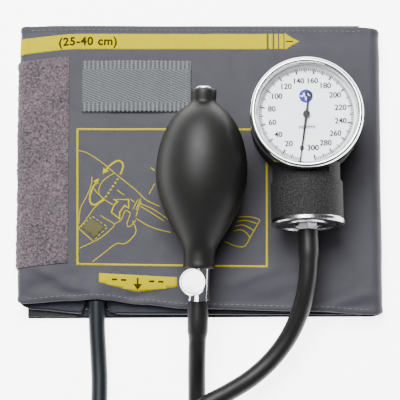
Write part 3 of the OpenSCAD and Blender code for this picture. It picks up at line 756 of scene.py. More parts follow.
def make_tubes():
    cuff, cuff_path, cuff_length = rubber_tube(
        "hose_cuff", "cuff_tube", CUFF_ROUTE, CUFF_TUBE_RUBBER, thin=4.05
    )
    bulb, bulb_path, bulb_length = rubber_tube(
        "hose_bulb", "bulb_tube", BULB_ROUTE, TUBE_RUBBER, thin=4.3, flare=(5.1, 14)
    )
    gauge, gauge_path, gauge_length = rubber_tube(
        "hose_gauge", "gauge_tube", GAUGE_ROUTE, TUBE_RUBBER, thin=4.45, flare=(5.0, 11)
    )
    diameter = TUBE_D * MM
    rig.cord(
        cuff, exit=cuff_path[0], length=cuff_length, diameter=diameter, far_end="connector",
        stiffness="medium", lay="loose", path=cuff_path, with_pieces=["y_connector"],
    )
    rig.cord(
        bulb, exit=bulb_path[0], length=bulb_length, diameter=diameter, far_end="object",
        stiffness="medium", lay="loose", path=bulb_path,
    )
    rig.cord(
        gauge, exit=gauge_path[0], length=gauge_length, diameter=diameter, far_end="object",
        stiffness="medium", lay="loose", path=gauge_path,
    )


make_tubes()
make_floor()
make_light()

# ---- The folded cuff: one surface for the cloth and for what is printed or sewn on it ----

shell_low, shell_high = box_mm("cuff_shell")
pile_low, pile_high = box_mm("pile_patch")
strap_low, strap_high = box_mm("gauge_strap")
hook_low, hook_high = box_mm("hook_patch")
CLOTH = 1.0
MIDDLE_Z = 4.2
MIDDLE_PANEL_X = 81  # where the middle panel ends, at the right
BOTTOM_PANEL_INSET = 5  # how far the bottom panel ends inside the left fold
PORT_X = -51.5
LEFT_R = (shell_high.z - MIDDLE_Z) / 2
RIGHT_R = shell_high.z / 2
LEFT_X = shell_low.x + LEFT_R
RIGHT_X = shell_high.x - RIGHT_R
HALF_H = shell_high.y

# A place on the band is (s, y): s is x on the top panel and goes on round both folds.
LEFT_TURN = LEFT_X - math.pi * LEFT_R  # where the left fold reaches the middle panel
RIGHT_TURN = RIGHT_X + math.pi * RIGHT_R  # where the right fold reaches the bottom panel
MIDDLE_END = LEFT_TURN - (MIDDLE_PANEL_X - LEFT_X)
BOTTOM_END = RIGHT_TURN + (RIGHT_X - (shell_low.x + BOTTOM_PANEL_INSET))

# Where each edge of the band runs, as (s, y).
LOWER_EDGE = [
    (MIDDLE_END, -72.2), (LEFT_TURN - 60, -71.9), (LEFT_TURN - 30, -71.6), (LEFT_TURN - 4, -69.6),
    (LEFT_TURN, -68.3), (-95, -66.2), (-88.4, -67.2), (-64.6, -65.8), (-51.2, -65.3), (-46.2, -65.6),
    (-28.8, -67.6), (-7, -69.6), (53, -71.0), (86, -72.6), (95, -71.6), (RIGHT_TURN, -72.6),
    (BOTTOM_END, -73.4),
]
UPPER_EDGE = [
    (MIDDLE_END, 75.6), (-160, 75.5), (LEFT_TURN - 12, 75.7), (LEFT_TURN, 74.6), (-96, 73.6), (-89, 73.9),
    (-74, 74.2), (-60, 74.4), (0, 74.2), (40, 73.8), (81, 73.6), (90, 73.0), (96, 72.2), (RIGHT_TURN, 73.0),
    (RIGHT_TURN + 20, 73.3), (BOTTOM_END, 73.3),
]
# Creases on the top panel: ends, half width and height, which is below 0 for a dip.
CREASES = [
    ((-88, -60), (-52, -50), 2.6, -0.5),
    ((-86, -48), (-66, -57), 2.4, 1.1),
    ((-70, -58), (-50, -62), 2.2, 0.9),
    ((-84, -62), (-66, -64), 2.0, 0.6),
    ((-40, -66), (-14, -60), 2.2, -0.5),
    ((14, -58), (40, -50), 2.8, 0.9),
    ((30, -66), (64, -58), 3.0, -0.5),
    ((60, -70), (88, -62), 2.2, 0.8),
    ((-86, 66), (-60, 69), 1.6, -0.4),
    ((40, 69), (84, 66), 1.8, -0.35),
]
SAG = 3.4  # how far the cloth slips down where it goes round the left fold
EDGE_DROP = 1.5  # how far the top panel falls towards its edges
HEM_PUCKER = 0.3
PORT_BULGE = 3.2  # how far the bladder's port lifts the cloth
FOLD_STEP = 0.9


def sag(s):
    """Slip of the cloth towards the tubes near the left fold."""
    t = smooth(-60, -100, s) if s < -60 else 0.0
    return -SAG * t


def edge_distance(s, y):
    """How far a place on the band is from the nearer edge."""
    return min(y - along(LOWER_EDGE, s), along(UPPER_EDGE, s) - y)


def round_fold(turn, start_x, way, radius, low_z):
    """x, z and the outward normal at an angle round a fold, and past half a turn along the panel."""
    if turn < math.pi:
        sine, cosine = way * math.sin(turn), math.cos(turn)
        return start_x + radius * sine, low_z + radius + radius * cosine, sine, cosine
    return start_x - way * (turn - math.pi) * radius, low_z, 0.0, -1.0


def fold(s):
    """x, z and the outward normal of the shell's outer face at s."""
    if s < LEFT_X:
        return round_fold((LEFT_X - s) / LEFT_R, LEFT_X, -1, LEFT_R, MIDDLE_Z)
    if s > RIGHT_X:
        return round_fold((s - RIGHT_X) / RIGHT_R, RIGHT_X, 1, RIGHT_R, 0.0)
    return s, shell_high.z, 0.0, 1.0


def ripple(x, y, size, seed=0.0):
    """Smooth noise from about -1 to 1, with features of about that size."""
    return noise.noise(Vector((x / size, y / size, seed)))


def near_crease(x, y, a, b, width):
    """1 on the middle of a crease, falling to 0 beside it and at its ends."""
    ax, ay = b[0] - a[0], b[1] - a[1]
    length = math.hypot(ax, ay)
    t = ((x - a[0]) * ax + (y - a[1]) * ay) / length**2
    beside = ((x - a[0]) * ay - (y - a[1]) * ax) / length
    beside += 1.2 * ripple(x, y, 11, 3.0)
    return math.exp(-((beside / width) ** 2)) * smooth(-0.15, 0.25, t) * smooth(1.15, 0.75, t)


def loads(x, y):
    """1 where the bulb or the gauge lies on the cloth and holds it flat."""
    bulb = math.exp(-(((x - 0.8) / 9) ** 2) - ((y + 10) / 16) ** 2)
    gauge = math.exp(-(((x - 51.7) / 16) ** 2) - ((y - 6) / 26) ** 2)
    return min(1.0, 1.6 * max(bulb, gauge))


def rise(s, y):
    """How far the top panel stands above its flat level."""
    on_top = smooth(LEFT_X - 9, LEFT_X + 4, s) * smooth(RIGHT_X + 12, RIGHT_X - 2, s)
    edge = edge_distance(s, y)
    drop = -EDGE_DROP * (1 - smooth(0, 13, edge))
    soft = 0.55 * ripple(s, y, 42, 1.0) + 0.28 * ripple(s, y, 17, 5.0) + 0.1 * ripple(s, y, 7, 9.0)
    pucker = HEM_PUCKER * ripple(s, 0, 5.5, 7.0) * math.exp(-max(edge, 0) / 6)
    crease = sum(height * near_crease(s, y, a, b, width) for a, b, width, height in CREASES)
    port = PORT_BULGE * math.exp(-(((s - PORT_X) / 8.5) ** 2)) * (1 - smooth(-70, -44, y))
    top = drop + pucker + crease + port + (soft - 0.25) * (1 - loads(s, y))
    return on_top * top + (1 - on_top) * 0.25 * ripple(s, y, 15, 2.0)


def hem(edge):
    """The doubled cloth along an edge: a low ridge that ends at its row of stitches."""
    ridge = 0.32 * smooth(-0.1, 0.5, edge) * smooth(3.4, 2.4, edge)
    groove = 0.12 * math.exp(-(((edge - 2.6) / 0.5) ** 2))
    return ridge - groove


def cuff_point(s, y, lift=0.0):
    """The point at s, y on the cuff's outer face, in metres, lifted off it by some millimetres."""
    x, z, nx, nz = fold(s)
    out = lift + rise(s, y) + hem(edge_distance(s, y))
    return Vector((x + nx * out, y, z + nz * out)) * MM


def inner_point(s, y, depth):
    """The point depth millimetres inside the outer face, without the hem's ridge."""
    x, z, nx, nz = fold(s)
    out = rise(s, y) - depth
    return Vector((x + nx * out, y, z + nz * out)) * MM


def steps(low, high, step):
    """Evenly spaced values from low to high, about a step apart."""
    count = max(1, round((high - low) / step))
    return [low + (high - low) * k / count for k in range(count + 1)]


def fill_layer(piece, name, values):
    """Gives a mesh a named layer with one value for each point."""
    layer = piece.data.attributes.new(name, "FLOAT", "POINT")
    layer.data.foreach_set("value", values)


def closed_grid(name, rows, columns, top_at, under_at, material, thread=None, under_material=None):
    """A closed slab between two surfaces, both given over a grid of rows and columns.

    thread gives the height of its yarn, from 0 to 1, which thread_paint reads as painted shade and highlight, and
    webbing_paint as bump and as painted shade and highlight.
    """
    points = [top_at(r, c) for r in rows for c in columns]
    points += [under_at(r, c) for r in rows for c in columns]
    wide, high = len(columns), len(rows)
    half = wide * high
    faces = []
    for i in range(high - 1):
        for k in range(wide - 1):
            a = i * wide + k
            quad = (a, a + 1, a + wide + 1, a + wide)
            faces.append(quad)
            faces.append([half + v for v in reversed(quad)])
    rim = list(range(wide)) + [i * wide + wide - 1 for i in range(1, high)]
    rim += [(high - 1) * wide + k for k in reversed(range(wide - 1))]
    rim += [i * wide for i in reversed(range(1, high - 1))]
    for a, b in zip(rim, rim[1:] + rim[:1]):
        faces.append((b, a, half + a, half + b))
    piece = outward(mesh_piece(name, points, faces, material))
    if under_material:
        piece.data.materials.append(under_material)
        for polygon in piece.data.polygons:
            polygon.material_index = int(min(polygon.vertices) >= half)
    if thread:
        fill_layer(piece, "thread", 2 * [thread(r, c) for r in rows for c in columns])
    return keep_edges(piece, 60)


def band_rows(end_trim, fine, coarse):
    """Values of s along the whole band, finer on the top panel and the folds."""
    return (
        steps(MIDDLE_END + end_trim, LEFT_TURN, coarse)[:-1]
        + steps(LEFT_TURN, LEFT_X, FOLD_STEP)[:-1]
        + steps(LEFT_X, RIGHT_X, fine)[:-1]
        + steps(RIGHT_X, RIGHT_TURN, FOLD_STEP)[:-1]
        + steps(RIGHT_TURN, BOTTOM_END - end_trim, coarse)
    )


EDGE_SHARES = [0, 0.004, 0.009, 0.014, 0.019, 0.025, 0.032, 0.042, 0.055]


def band_columns(count):
    """Shares of the way across the band, finer near both edges."""
    middle = steps(EDGE_SHARES[-1], 1 - EDGE_SHARES[-1], (1 - 2 * EDGE_SHARES[-1]) / count)
    return EDGE_SHARES[:-1] + middle + [1 - v for v in reversed(EDGE_SHARES[:-1])]


def across(s, share, trim_low=0.0, trim_high=0.0):
    """The y at a share of the way from the lower edge to the upper edge, each trimmed back a little."""
    low = along(LOWER_EDGE, s) + trim_low
    high = along(UPPER_EDGE, s) - trim_high
    return low + (high - low) * share


MIDDLE_PORT_S = LEFT_TURN - (PORT_X - LEFT_X)
PORT_GAP_DEPTH = 9
PORT_GAP_HALF = 7
INNER_TRIM = 0.7  # how far the lining stops inside each edge of the cloth
LINING = 0.8


def port_gap(s, centre):
    """How far an edge is cut back for the tube at centre."""
    return PORT_GAP_DEPTH * smooth(PORT_GAP_HALF, PORT_GAP_HALF - 2.5, abs(s - centre))


def lining_depth(s, y):
    """How deep the lining lies under the outer face: deep over the bladder, close at the edges and folds."""
    from_folds = smooth(LEFT_X - 6, LEFT_X + 12, s) * smooth(RIGHT_X + 8, RIGHT_X - 8, s)
    return CLOTH + 0.05 + 2.9 * smooth(4, 15, edge_distance(s, y)) * from_folds


def make_cuff():
    """The outer cloth and its lining, each a closed sheet along the whole band."""

    def outer_cut(s):
        return port_gap(s, MIDDLE_PORT_S)

    def inner_cut(s):
        return INNER_TRIM + port_gap(s, PORT_X) + port_gap(s, MIDDLE_PORT_S)

    def outer_y(s, v):
        return across(s, v, outer_cut(s))

    def inner_y(s, v):
        return across(s, v, inner_cut(s), INNER_TRIM)

    shell = closed_grid(
        "cuff_cloth", band_rows(0, 1.6, 3.5), band_columns(76),
        lambda s, v: cuff_point(s, outer_y(s, v)),
        lambda s, v: inner_point(s, outer_y(s, v), CLOTH),
        NYLON, under_material=NAVY,
    )
    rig.replaces(shell, "cuff_shell")
    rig.slot(shell, "nylon_cloth")
    lining = closed_grid(
        "cuff_inner_cloth", band_rows(0.8, 2.2, 4.0), band_columns(50),
        lambda s, v: inner_point(s, inner_y(s, v), lining_depth(s, inner_y(s, v))),
        lambda s, v: inner_point(s, inner_y(s, v), lining_depth(s, inner_y(s, v)) + LINING),
        NAVY,
    )
    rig.replaces(lining, "cuff_lining")
    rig.slot(lining, "lining_cloth")
    return shell, lining


# ---- Sewn and printed things on the cuff ----


def dashes(name, lines, length, gap, radius, lift):
    """Rows of stitches: each line is a list of (s, y) points, and each stitch is a low closed lozenge."""
    points, faces = [], []
    for line in lines:
        total = sum(math.dist(a, b) for a, b in zip(line, line[1:]))
        at = gap / 2
        while at + length < total:
            ends = []
            for share in (0.0, 0.25, 0.75, 1.0):
                s, y = point_along(line, at + length * share)
                ends.append((s, y, radius * (0.35 if share in (0.0, 1.0) else 1.0)))
            add_dash(points, faces, ends, lift)
            at += length + gap
    piece = mesh_piece(name, points, faces, THREAD)
    fill_layer(piece, "thread", [0.6] * len(points))
    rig.slot(piece, "webbing")
    return piece


def point_along(line, distance):
    """The point at a distance along a line of (s, y) points."""
    for a, b in zip(line, line[1:]):
        span = math.dist(a, b)
        if distance <= span:
            t = distance / span
            return a[0] + (b[0] - a[0]) * t, a[1] + (b[1] - a[1]) * t
        distance -= span
    return line[-1]


def add_dash(points, faces, ends, lift):
    """Adds one stitch, through (s, y, radius) sections."""
    (s0, y0, _), (s1, y1, _) = ends[0], ends[-1]
    span = math.dist((s0, y0), (s1, y1))
    ds, dy = -(y1 - y0) / span, (s1 - s0) / span
    sides = 6
    faces.extend(tube_faces(len(ends), sides, len(points)))
    for s, y, r in ends:
        for k in range(sides):
            a = 2 * math.pi * k / sides
            sway = r * math.cos(a)
            points.append(cuff_point(s + ds * sway, y + dy * sway, lift + r * math.sin(a)))


def make_hem_stitches():
    """Rows of stitches along both hems, on the top panel and on the middle panel."""
    inset = 2.1
    lines = []
    for low, high in ((-86, 84), (LEFT_TURN - 60, -98)):
        values = steps(low, high, 4)
        lines.append([(s, along(LOWER_EDGE, s) + inset) for s in values])
        lines.append([(s, along(UPPER_EDGE, s) - inset) for s in values])
    return dashes("hem_stitches", lines, length=1.9, gap=0.9, radius=0.14, lift=0.06)


def edge_roll(name, run, table, way):
    """A thin roll along an edge, where the cloth is turned over, through a run of s values; its pale colour is a
    painted highlight on the turn.
    """
    sides, width, height = 8, 0.3, 0.42
    points = []
    for s in run:
        y = along(table, s)
        up = cuff_point(s, y, 1) - cuff_point(s, y, 0)
        for k in range(sides):
            a = 2 * math.pi * k / sides
            aside = Vector((0, -way * width * math.cos(a), 0)) * MM
            points.append(inner_point(s, y, CLOTH / 2) + up * height * math.sin(a) + aside)
    piece = outward(mesh_piece(name, points, tube_faces(len(run), sides), EDGE_HIGHLIGHT_CLOTH))
    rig.slot(piece, "nylon_cloth")
    return piece


def make_binding():
    """The rolls along both edges; the lower one has a gap where the middle panel is cut back."""
    rows = band_rows(0, 2.0, 3.5)
    gap = PORT_GAP_HALF + 0.5
    before = [s for s in rows if s < MIDDLE_PORT_S - gap]
    after = [s for s in rows if s > MIDDLE_PORT_S + gap]
    return [
        edge_roll("edge_lower_0", before, LOWER_EDGE, 1),
        edge_roll("edge_lower_1", after, LOWER_EDGE, 1),
        edge_roll("edge_upper_0", rows, UPPER_EDGE, -1),
    ]


def make_pile():
    """Loop tape round the left fold, with a smooth selvage at its right and lower borders."""
    low_y, high_y = pile_low.y - 1.0, pile_high.y + 1.3
    right_s = -66.0
    end_s = LEFT_TURN - 22

    def place_y(s, v):
        return low_y + (high_y - low_y) * v + sag(s) - 0.5 * smooth(-66, -60, s)

    def thick(s, v):
        y = low_y + (high_y - low_y) * v
        border = min(right_s - s, y - low_y, s - end_s, high_y - y + 1)
        fuzz = 0.32 * ripple(s, y, 1.3, 4.0) + 0.3 * ripple(s, y, 3.4, 8.0)
        body = smooth(0.7, 1.7, border)
        selvage = 0.55 + 0.15 * smooth(0, 0.5, border)
        return selvage * (1 - body) + (1.0 + fuzz) * body

    piece = closed_grid(
        "loop_tape", steps(end_s, right_s, 0.75), steps(0, 1, 0.0072),
        lambda s, v: cuff_point(s, place_y(s, v), thick(s, v)),
        lambda s, v: cuff_point(s, place_y(s, v), -0.25),
        PILE,
    )
    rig.replaces(piece, "pile_patch")
    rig.slot(piece, "loop_tape")
    side = [(right_s - 1.1, low_y + 1 + sag(right_s)), (right_s - 1.1, high_y - 1)]
    foot = [(s, low_y + 1.1 + sag(s)) for s in steps(LEFT_X - 4, right_s - 1, 2)]
    stitches = dashes("loop_tape_stitches", [side, foot], length=1.5, gap=1.1, radius=0.14, lift=0.7)
    return [piece, stitches]


RIB = 2.15
RIB_BAND = 5.0
STRAP_THICKNESS = 1.1


def rib_height(x, from_edge):
    """Height of the border's ribs, from 0 to 1: upright cords, crossed by a weft every millimetre."""
    cord = math.cos(2 * math.pi * x / RIB)
    weft = math.cos(2 * math.pi * from_edge)
    return 0.5 + 0.22 * cord + 0.14 * weft


def make_strap():
    """Ribbed webbing, sewn down at both ends and arched a little between."""
    low, high = strap_low, strap_high
    low_y, high_y = low.y - 0.1, high.y + 0.7
    rows, columns = steps(low.x, high.x, 0.4), steps(0, 1, 0.016)

    def arch(x):
        middle = smooth(low.x + 10, low.x + 17, x) * smooth(high.x - 11, high.x - 18, x)
        return 0.1 + 0.7 * middle

    def scallop(x):
        return 0.22 * math.cos(2 * math.pi * x / RIB)

    def place_y(x, v):
        start = low_y + 0.3 - scallop(x)
        stop = high_y - 0.3 + 0.4 * scallop(x) + 0.25 * ripple(x, 0, 2.2)
        return start + (stop - start) * v

    def from_edge(x, v):
        return min(place_y(x, v) - low_y, high_y - place_y(x, v))

    def is_middle(x, v):
        return smooth(RIB_BAND - 0.4, RIB_BAND + 0.4, from_edge(x, v))

    def thread(x, v):
        return rib_height(x, from_edge(x, v)) * (1 - is_middle(x, v)) + 0.6 * is_middle(x, v)

    def round_off(x, v):
        rim = min(from_edge(x, v), x - low.x, high.x - x)
        return -0.5 * (1 - smooth(-0.2, 0.9, rim))

    def top(x, v):
        face = STRAP_THICKNESS - 0.25 + 0.5 * thread(x, v)
        return cuff_point(x, place_y(x, v), arch(x) + face + round_off(x, v))

    def under(x, v):
        return cuff_point(x, place_y(x, v), arch(x))

    piece = closed_grid("hanger_strap", rows, columns, top, under, WEBBING, thread)
    fill_layer(piece, "middle", 2 * [is_middle(x, v) for x in rows for v in columns])
    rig.replaces(piece, "gauge_strap")
    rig.slot(piece, "webbing")
    lines = [[(x, low_y + 0.6), (x, high_y - 0.6)] for x in (low.x + 8.4, high.x - 10, high.x - 2.6)]
    stitches = dashes("hanger_strap_stitches", lines, length=1.2, gap=0.7, radius=0.2, lift=1.35)
    return [piece, stitches]


def make_hooks():
    """Hook tape on the inner face of the bottom panel's end, with its stiff bristles; their height also colours it,
    with painted shade between the bristles.
    """
    low, high = hook_low, hook_high

    def bristle(x, y):
        return max(0.0, ripple(x, y, 0.9, 6.0))

    def top(x, y):
        return Vector((x, y, high.z - 0.35 + 0.6 * bristle(x, y))) * MM

    def under(x, y):
        return Vector((x, y, low.z + 0.05)) * MM

    piece = closed_grid(
        "hook_tape", steps(low.x, high.x, 1.0), steps(low.y, high.y, 1.0), top, under, HOOKS, bristle,
    )
    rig.replaces(piece, "hook_patch")
    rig.slot(piece, "hook_tape")
    return piece


cuff_cloth, cuff_lining = make_cuff()
sewn_on_cuff = [make_hem_stitches(), *make_binding(), *make_pile(), *make_strap(), make_hooks()]
band_size = ((BOTTOM_END - MIDDLE_END) * MM, 2 * HALF_H * MM)

# ---- Prints on the cuff ----

PRINT_THICKNESS = 0.2
PRINT_LIFT = 0.12
OVERPRINT_LIFT = 0.2  # for what is printed on another print


def face_up(shape):
    """Turns a flat bmesh's faces so that they face up."""
    for face in shape.faces:
        face.normal_update()
        if face.normal.z < 0:
            face.normal_flip()


def thin_piece(name, shape, material, thickness, slot):
    """Makes a thin closed piece from a bmesh that is already in place."""
    mesh = bpy.data.meshes.new(name)
    shape.to_mesh(mesh)
    shape.free()
    mesh.materials.append(material)
    piece = add_object(name, mesh)
    thick = piece.modifiers.new("thickness", "SOLIDIFY")
    thick.thickness = thickness * MM
    thick.offset = -1
    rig.ride(piece, ROOT)
    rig.slot(piece, slot)
    return piece


def print_piece(name, shape, material, lift=PRINT_LIFT, grain=2.0):
    """Turns a flat bmesh in (s, y) into a thin closed print that follows the cloth."""
    for axis in (Vector((1, 0, 0)), Vector((0, 1, 0))):
        spots = [vert.co.dot(axis) for vert in shape.verts]
        for cut in steps(min(spots), max(spots), grain)[1:-1]:
            everything = [*shape.verts, *shape.edges, *shape.faces]
            bmesh.ops.bisect_plane(shape, geom=everything, plane_co=axis * cut, plane_no=axis)
    bmesh.ops.triangulate(shape, faces=shape.faces[:])
    bmesh.ops.recalc_face_normals(shape, faces=shape.faces)
    face_up(shape)
    for vert in shape.verts:
        vert.co = cuff_point(vert.co.x, vert.co.y + sag(vert.co.x), lift)
    for face in shape.faces:
        face.smooth = True
    return thin_piece(name, shape, material, PRINT_THICKNESS, "webbing")


def add_polygon(shape, outline):
    """A flat face through (s, y) points."""
    shape.faces.new([shape.verts.new((s, y, 0)) for s, y in outline])


def add_stroke(shape, line, width):
    """A line of even width through (s, y) points, with mitred corners."""
    left, right = [], []
    for i, (s, y) in enumerate(line):
        before = line[max(i - 1, 0)]
        after = line[min(i + 1, len(line) - 1)]
        closed = line[0] == line[-1]
        if closed and i in (0, len(line) - 1):
            before, after = line[-2], line[1]
        d1 = Vector((s - before[0], y - before[1]))
        d2 = Vector((after[0] - s, after[1] - y))
        d1 = d1.normalized() if d1.length else d2.normalized()
        d2 = d2.normalized() if d2.length else d1
        normal = Vector((-(d1 + d2).y, (d1 + d2).x)).normalized()
        reach = width / 2 / max(0.5, normal.dot(Vector((-d1.y, d1.x))))
        left.append(shape.verts.new((s + normal.x * reach, y + normal.y * reach, 0)))
        right.append(shape.verts.new((s - normal.x * reach, y - normal.y * reach, 0)))
    for i in range(len(line) - 1):
        shape.faces.new((left[i], left[i + 1], right[i + 1], right[i]))


def smooth_line(*knots, per_span=5):
    """A smooth (s, y) line through knots."""
    return [(p.x, p.y) for p in spline([Vector((*k, 0)) for k in knots], per_span)]


def glyphs(text, size, place, bold=0.0, spacing=1.0):
    """A flat bmesh of some lettering, centred on place; bold widens its strokes."""
    curve = bpy.data.curves.new("lettering", "FONT")
    curve.body = text
    curve.size = size
    curve.align_x = "CENTER"
    curve.align_y = "CENTER"
    curve.space_character = spacing
    curve.resolution_u = 3
    curve.offset = bold
    source = add_object("lettering", curve)
    bpy.context.view_layer.update()
    evaluated = source.evaluated_get(bpy.context.evaluated_depsgraph_get())
    flat = bpy.data.meshes.new_from_object(evaluated)
    shape = bmesh.new()
    shape.from_mesh(flat)
    bmesh.ops.translate(shape, verts=shape.verts, vec=(*place, 0))
    bpy.data.objects.remove(source)
    bpy.data.curves.remove(curve)
    bpy.data.meshes.remove(flat)
    return shape


RANGE_LOW, RANGE_HIGH = 61.9, 70.2
RANGE_START = LEFT_X - 0.72 * math.pi * LEFT_R  # most of the way round the left fold
RANGE_RUNS = [(RANGE_START, 33.8), (34.7, 36.9), (37.6, 39.5), (40.1, 42.4)]
ARROW_FOOT, ARROW_TIP = 42.8, 50.2
ARROW_HALF = 4.6
RANGE_TEXT_S = -56.7


def make_range_band():
    """The yellow size band with its stripes and its arrowhead."""
    middle = (RANGE_LOW + RANGE_HIGH) / 2
    shape = bmesh.new()
    for s0, s1 in RANGE_RUNS:
        add_polygon(shape, [(s0, RANGE_LOW), (s1, RANGE_LOW), (s1, RANGE_HIGH), (s0, RANGE_HIGH)])
    head = [(ARROW_FOOT, middle - ARROW_HALF), (ARROW_TIP, middle), (ARROW_FOOT, middle + ARROW_HALF)]
    add_polygon(shape, head)
    dash = bmesh.new()
    add_stroke(dash, [(43.4, middle), (47.0, middle)], 0.6)
    lettering = glyphs("(25-40 cm)", 6.2, (RANGE_TEXT_S, middle), bold=0.16, spacing=1.08)
    return [
        print_piece("range_band", shape, YELLOW, grain=1.2),
        print_piece("range_dash", dash, LETTER, OVERPRINT_LIFT),
        print_piece("range_numbers", lettering, LETTER, lift=0.3, grain=1.2),
    ]


LABEL = [(-50.2, -52.4), (-11.4, -54.5), (-11.4, -59.4), (-30.8, -61.9), (-50.2, -57.1)]
LABEL_MIDDLE = -31
LABEL_SLOPE = -0.05
LABEL_ROW_Y = -56.15  # the height of its dashes at its middle
LABEL_DASHES = [-11.5, -7, 7, 11.5]  # from its middle
LABEL_STROKE = 0.9


def make_artery_label():
    """The arrow label that is set over the artery, with a plain arrow where its word would be."""
    shape = bmesh.new()
    add_polygon(shape, LABEL)
    mark = bmesh.new()
    add_stroke(mark, [(LABEL_MIDDLE, -54.8), (LABEL_MIDDLE, -58.4)], LABEL_STROKE)
    add_polygon(mark, [(LABEL_MIDDLE - 2.2, -57.8), (LABEL_MIDDLE, -60.6), (LABEL_MIDDLE + 2.2, -57.8)])
    half = 1.3
    for from_middle in LABEL_DASHES:
        s, y = LABEL_MIDDLE + from_middle, LABEL_ROW_Y + LABEL_SLOPE * from_middle
        add_stroke(mark, [(s - half, y + 0.05), (s + half, y - 0.05)], LABEL_STROKE)
    return [
        print_piece("artery_label", shape, YELLOW),
        print_piece("artery_arrow", mark, LETTER, OVERPRINT_LIFT),
    ]


# The picture's lines: each smooth one runs through its (s, y) knots.
FRAME = [(-61.6, 20.7), (33.6, 20.5), (33.3, -49.1), (-61.0, -47.9)]
ARROW_LINES = [
    [(-47.4, -0.7), (-45.8, 1.3), (-43.5, 3.3), (-41.1, 4.5), (-39.1, 3.6), (-38.6, 1.2), (-39.9, -2.8)],
    [(-51.9, -6.7), (-53.9, -9.8), (-55.1, -14.4), (-54.3, -17.4), (-52, -17.8), (-47.7, -14.7)],
]
ARROW_HEADS = [
    [(-48.9, -2.4), (-48.3, 0.9), (-45.6, -0.9)],
    [(-50.6, -4.4), (-50.9, -7.6), (-53.6, -6.0)],
]
GAUGE_BLOCK = [
    (-43.0, -15.3), (-35.7, -15.3), (-35.6, -19.7), (-37.7, -18.4), (-40.1, -21.8), (-40.1, -25.1),
    (-44.3, -21.8), (-42.8, -18.0), (-41.0, -16.3), (-43.0, -15.3),
]
ARM_LINES = [
    [(-60.9, 9.8), (-56, 8.2), (-48.8, 3.3), (-42.8, -1.8), (-32, -10.6), (-26.7, -15.7), (-20.3, -18.7)],
    [(-53, -9.9), (-50.7, -12.6), (-46.7, -16), (-43.3, -18)],
    [(-32, -24.8), (-26.6, -28.2), (-20.6, -30.5), (-14.6, -31.9)],
    [(-42.8, -1.8), (-46.1, -3.8), (-49.1, -6.5), (-50.6, -9.9), (-50.4, -12.3)],
]
HAND_LINES = [
    [(-54.1, -3.8), (-54.6, -8.6), (-57.2, -14.6), (-59.8, -20), (-60.4, -27.5)],
    [(-47.3, -15.3), (-51.3, -18), (-54.3, -21.6), (-57.6, -26.4), (-60.5, -29.7)],
    [(-49.6, -23.4), (-46.6, -25.4), (-42.9, -27.8), (-44.6, -30.5), (-50.4, -35.2), (-60.1, -40)],
    [
        (-53.8, -47), (-47.8, -42.3), (-41.9, -37.7), (-37.5, -37.6), (-33.6, -34.4), (-31.9, -30.9),
        (-33.6, -26.1),
    ],
    [
        (-42.9, -27.8), (-39.3, -25.5), (-37.4, -21.1), (-34.9, -22.4), (-36.4, -27.4), (-35.2, -29.2),
        (-32, -25.8),
    ],
]
TUBE_LINES = [
    [(-29.7, -17.4), (-24, -19.9), (-18.6, -23.4), (-15, -26.2)],
    [(-29.9, -18.6), (-24.6, -21.8), (-18, -26.1)],
    [(-32, -24.1), (-30.3, -18), (-29.3, -16.3)],
]
OTHER_HAND_LINES = [
    [
        (19.3, -24.1), (24.4, -24), (29.6, -25.4), (28.4, -28.4), (25.4, -33.8), (22.3, -38.8),
        (17.6, -38.7), (12.3, -36.4),
    ],
    [(18.6, -26.3), (22.6, -25.8), (28.5, -27.4)],
    [(17.6, -28.6), (21.6, -28.2), (25, -29.8), (27.2, -31.2)],
    [(16.8, -31.1), (20.6, -30.6), (23.4, -32.4), (24.8, -34.4)],
]
STRAIGHT_LINES = [
    [(-60.5, -29.9), (-53.2, -36.4)],
    [(-33.6, -20.4), (-31, -15.3)], [(-32.1, -20.7), (-29.7, -14.8)],
    [(-41.4, -10.4), (-38, -13.1)], [(-34.8, -15.1), (-32.7, -16.7)],
    [(-24.6, 1.0), (-22.7, -0.7)], [(-22.7, -7.2), (-25.5, -12.6)],
]
DASHED_LINE = [(-59.9, -29.5), (-53.9, -23.8), (-46.2, -29.2), (-52.8, -35.9)]
PATCH = [(-58.7, -29.7), (-54.2, -25.0), (-47.6, -29.5), (-52.6, -34.9)]
THIN = 0.42


def bold_lines():
    """The picture's frame, the arrow round the arm, a row of dashes and the gauge."""
    shape = bmesh.new()
    add_stroke(shape, [*FRAME, FRAME[0]], 1.0)
    for knots in ARROW_LINES:
        add_stroke(shape, smooth_line(*knots), 0.9)
    for head in ARROW_HEADS:
        add_polygon(shape, head)
    for k in range(6):
        s, y = -40.9 - 1.15 * k, -4.6 - 1.75 * k
        add_stroke(shape, [(s, y), (s - 0.65, y - 0.95)], 0.9)
    add_stroke(shape, GAUGE_BLOCK, 0.65)
    return shape


def thin_lines():
    """The arm, both hands and the tubes, and the dashed edge of the cuff."""
    shape = bmesh.new()
    for knots in ARM_LINES + HAND_LINES + TUBE_LINES + OTHER_HAND_LINES:
        add_stroke(shape, smooth_line(*knots), THIN)
    for line in STRAIGHT_LINES:
        add_stroke(shape, line, THIN)
    for a, b in zip(DASHED_LINE, DASHED_LINE[1:]):
        for k in range(4):
            ends = [(k + 0.15) / 4, (k + 0.7) / 4]
            dash = [(a[0] + (b[0] - a[0]) * t, a[1] + (b[1] - a[1]) * t) for t in ends]
            add_stroke(shape, dash, THIN)
    return shape


def make_picture():
    """A framed picture of how the cuff goes round an arm, in plain lines."""
    patch = bmesh.new()
    add_polygon(patch, PATCH)
    return [
        print_piece("picture_bold", bold_lines(), YELLOW),
        print_piece("picture_lines", thin_lines(), YELLOW, grain=1.4),
        print_piece("picture_patch", patch, HATCH, lift=0.1),
    ]


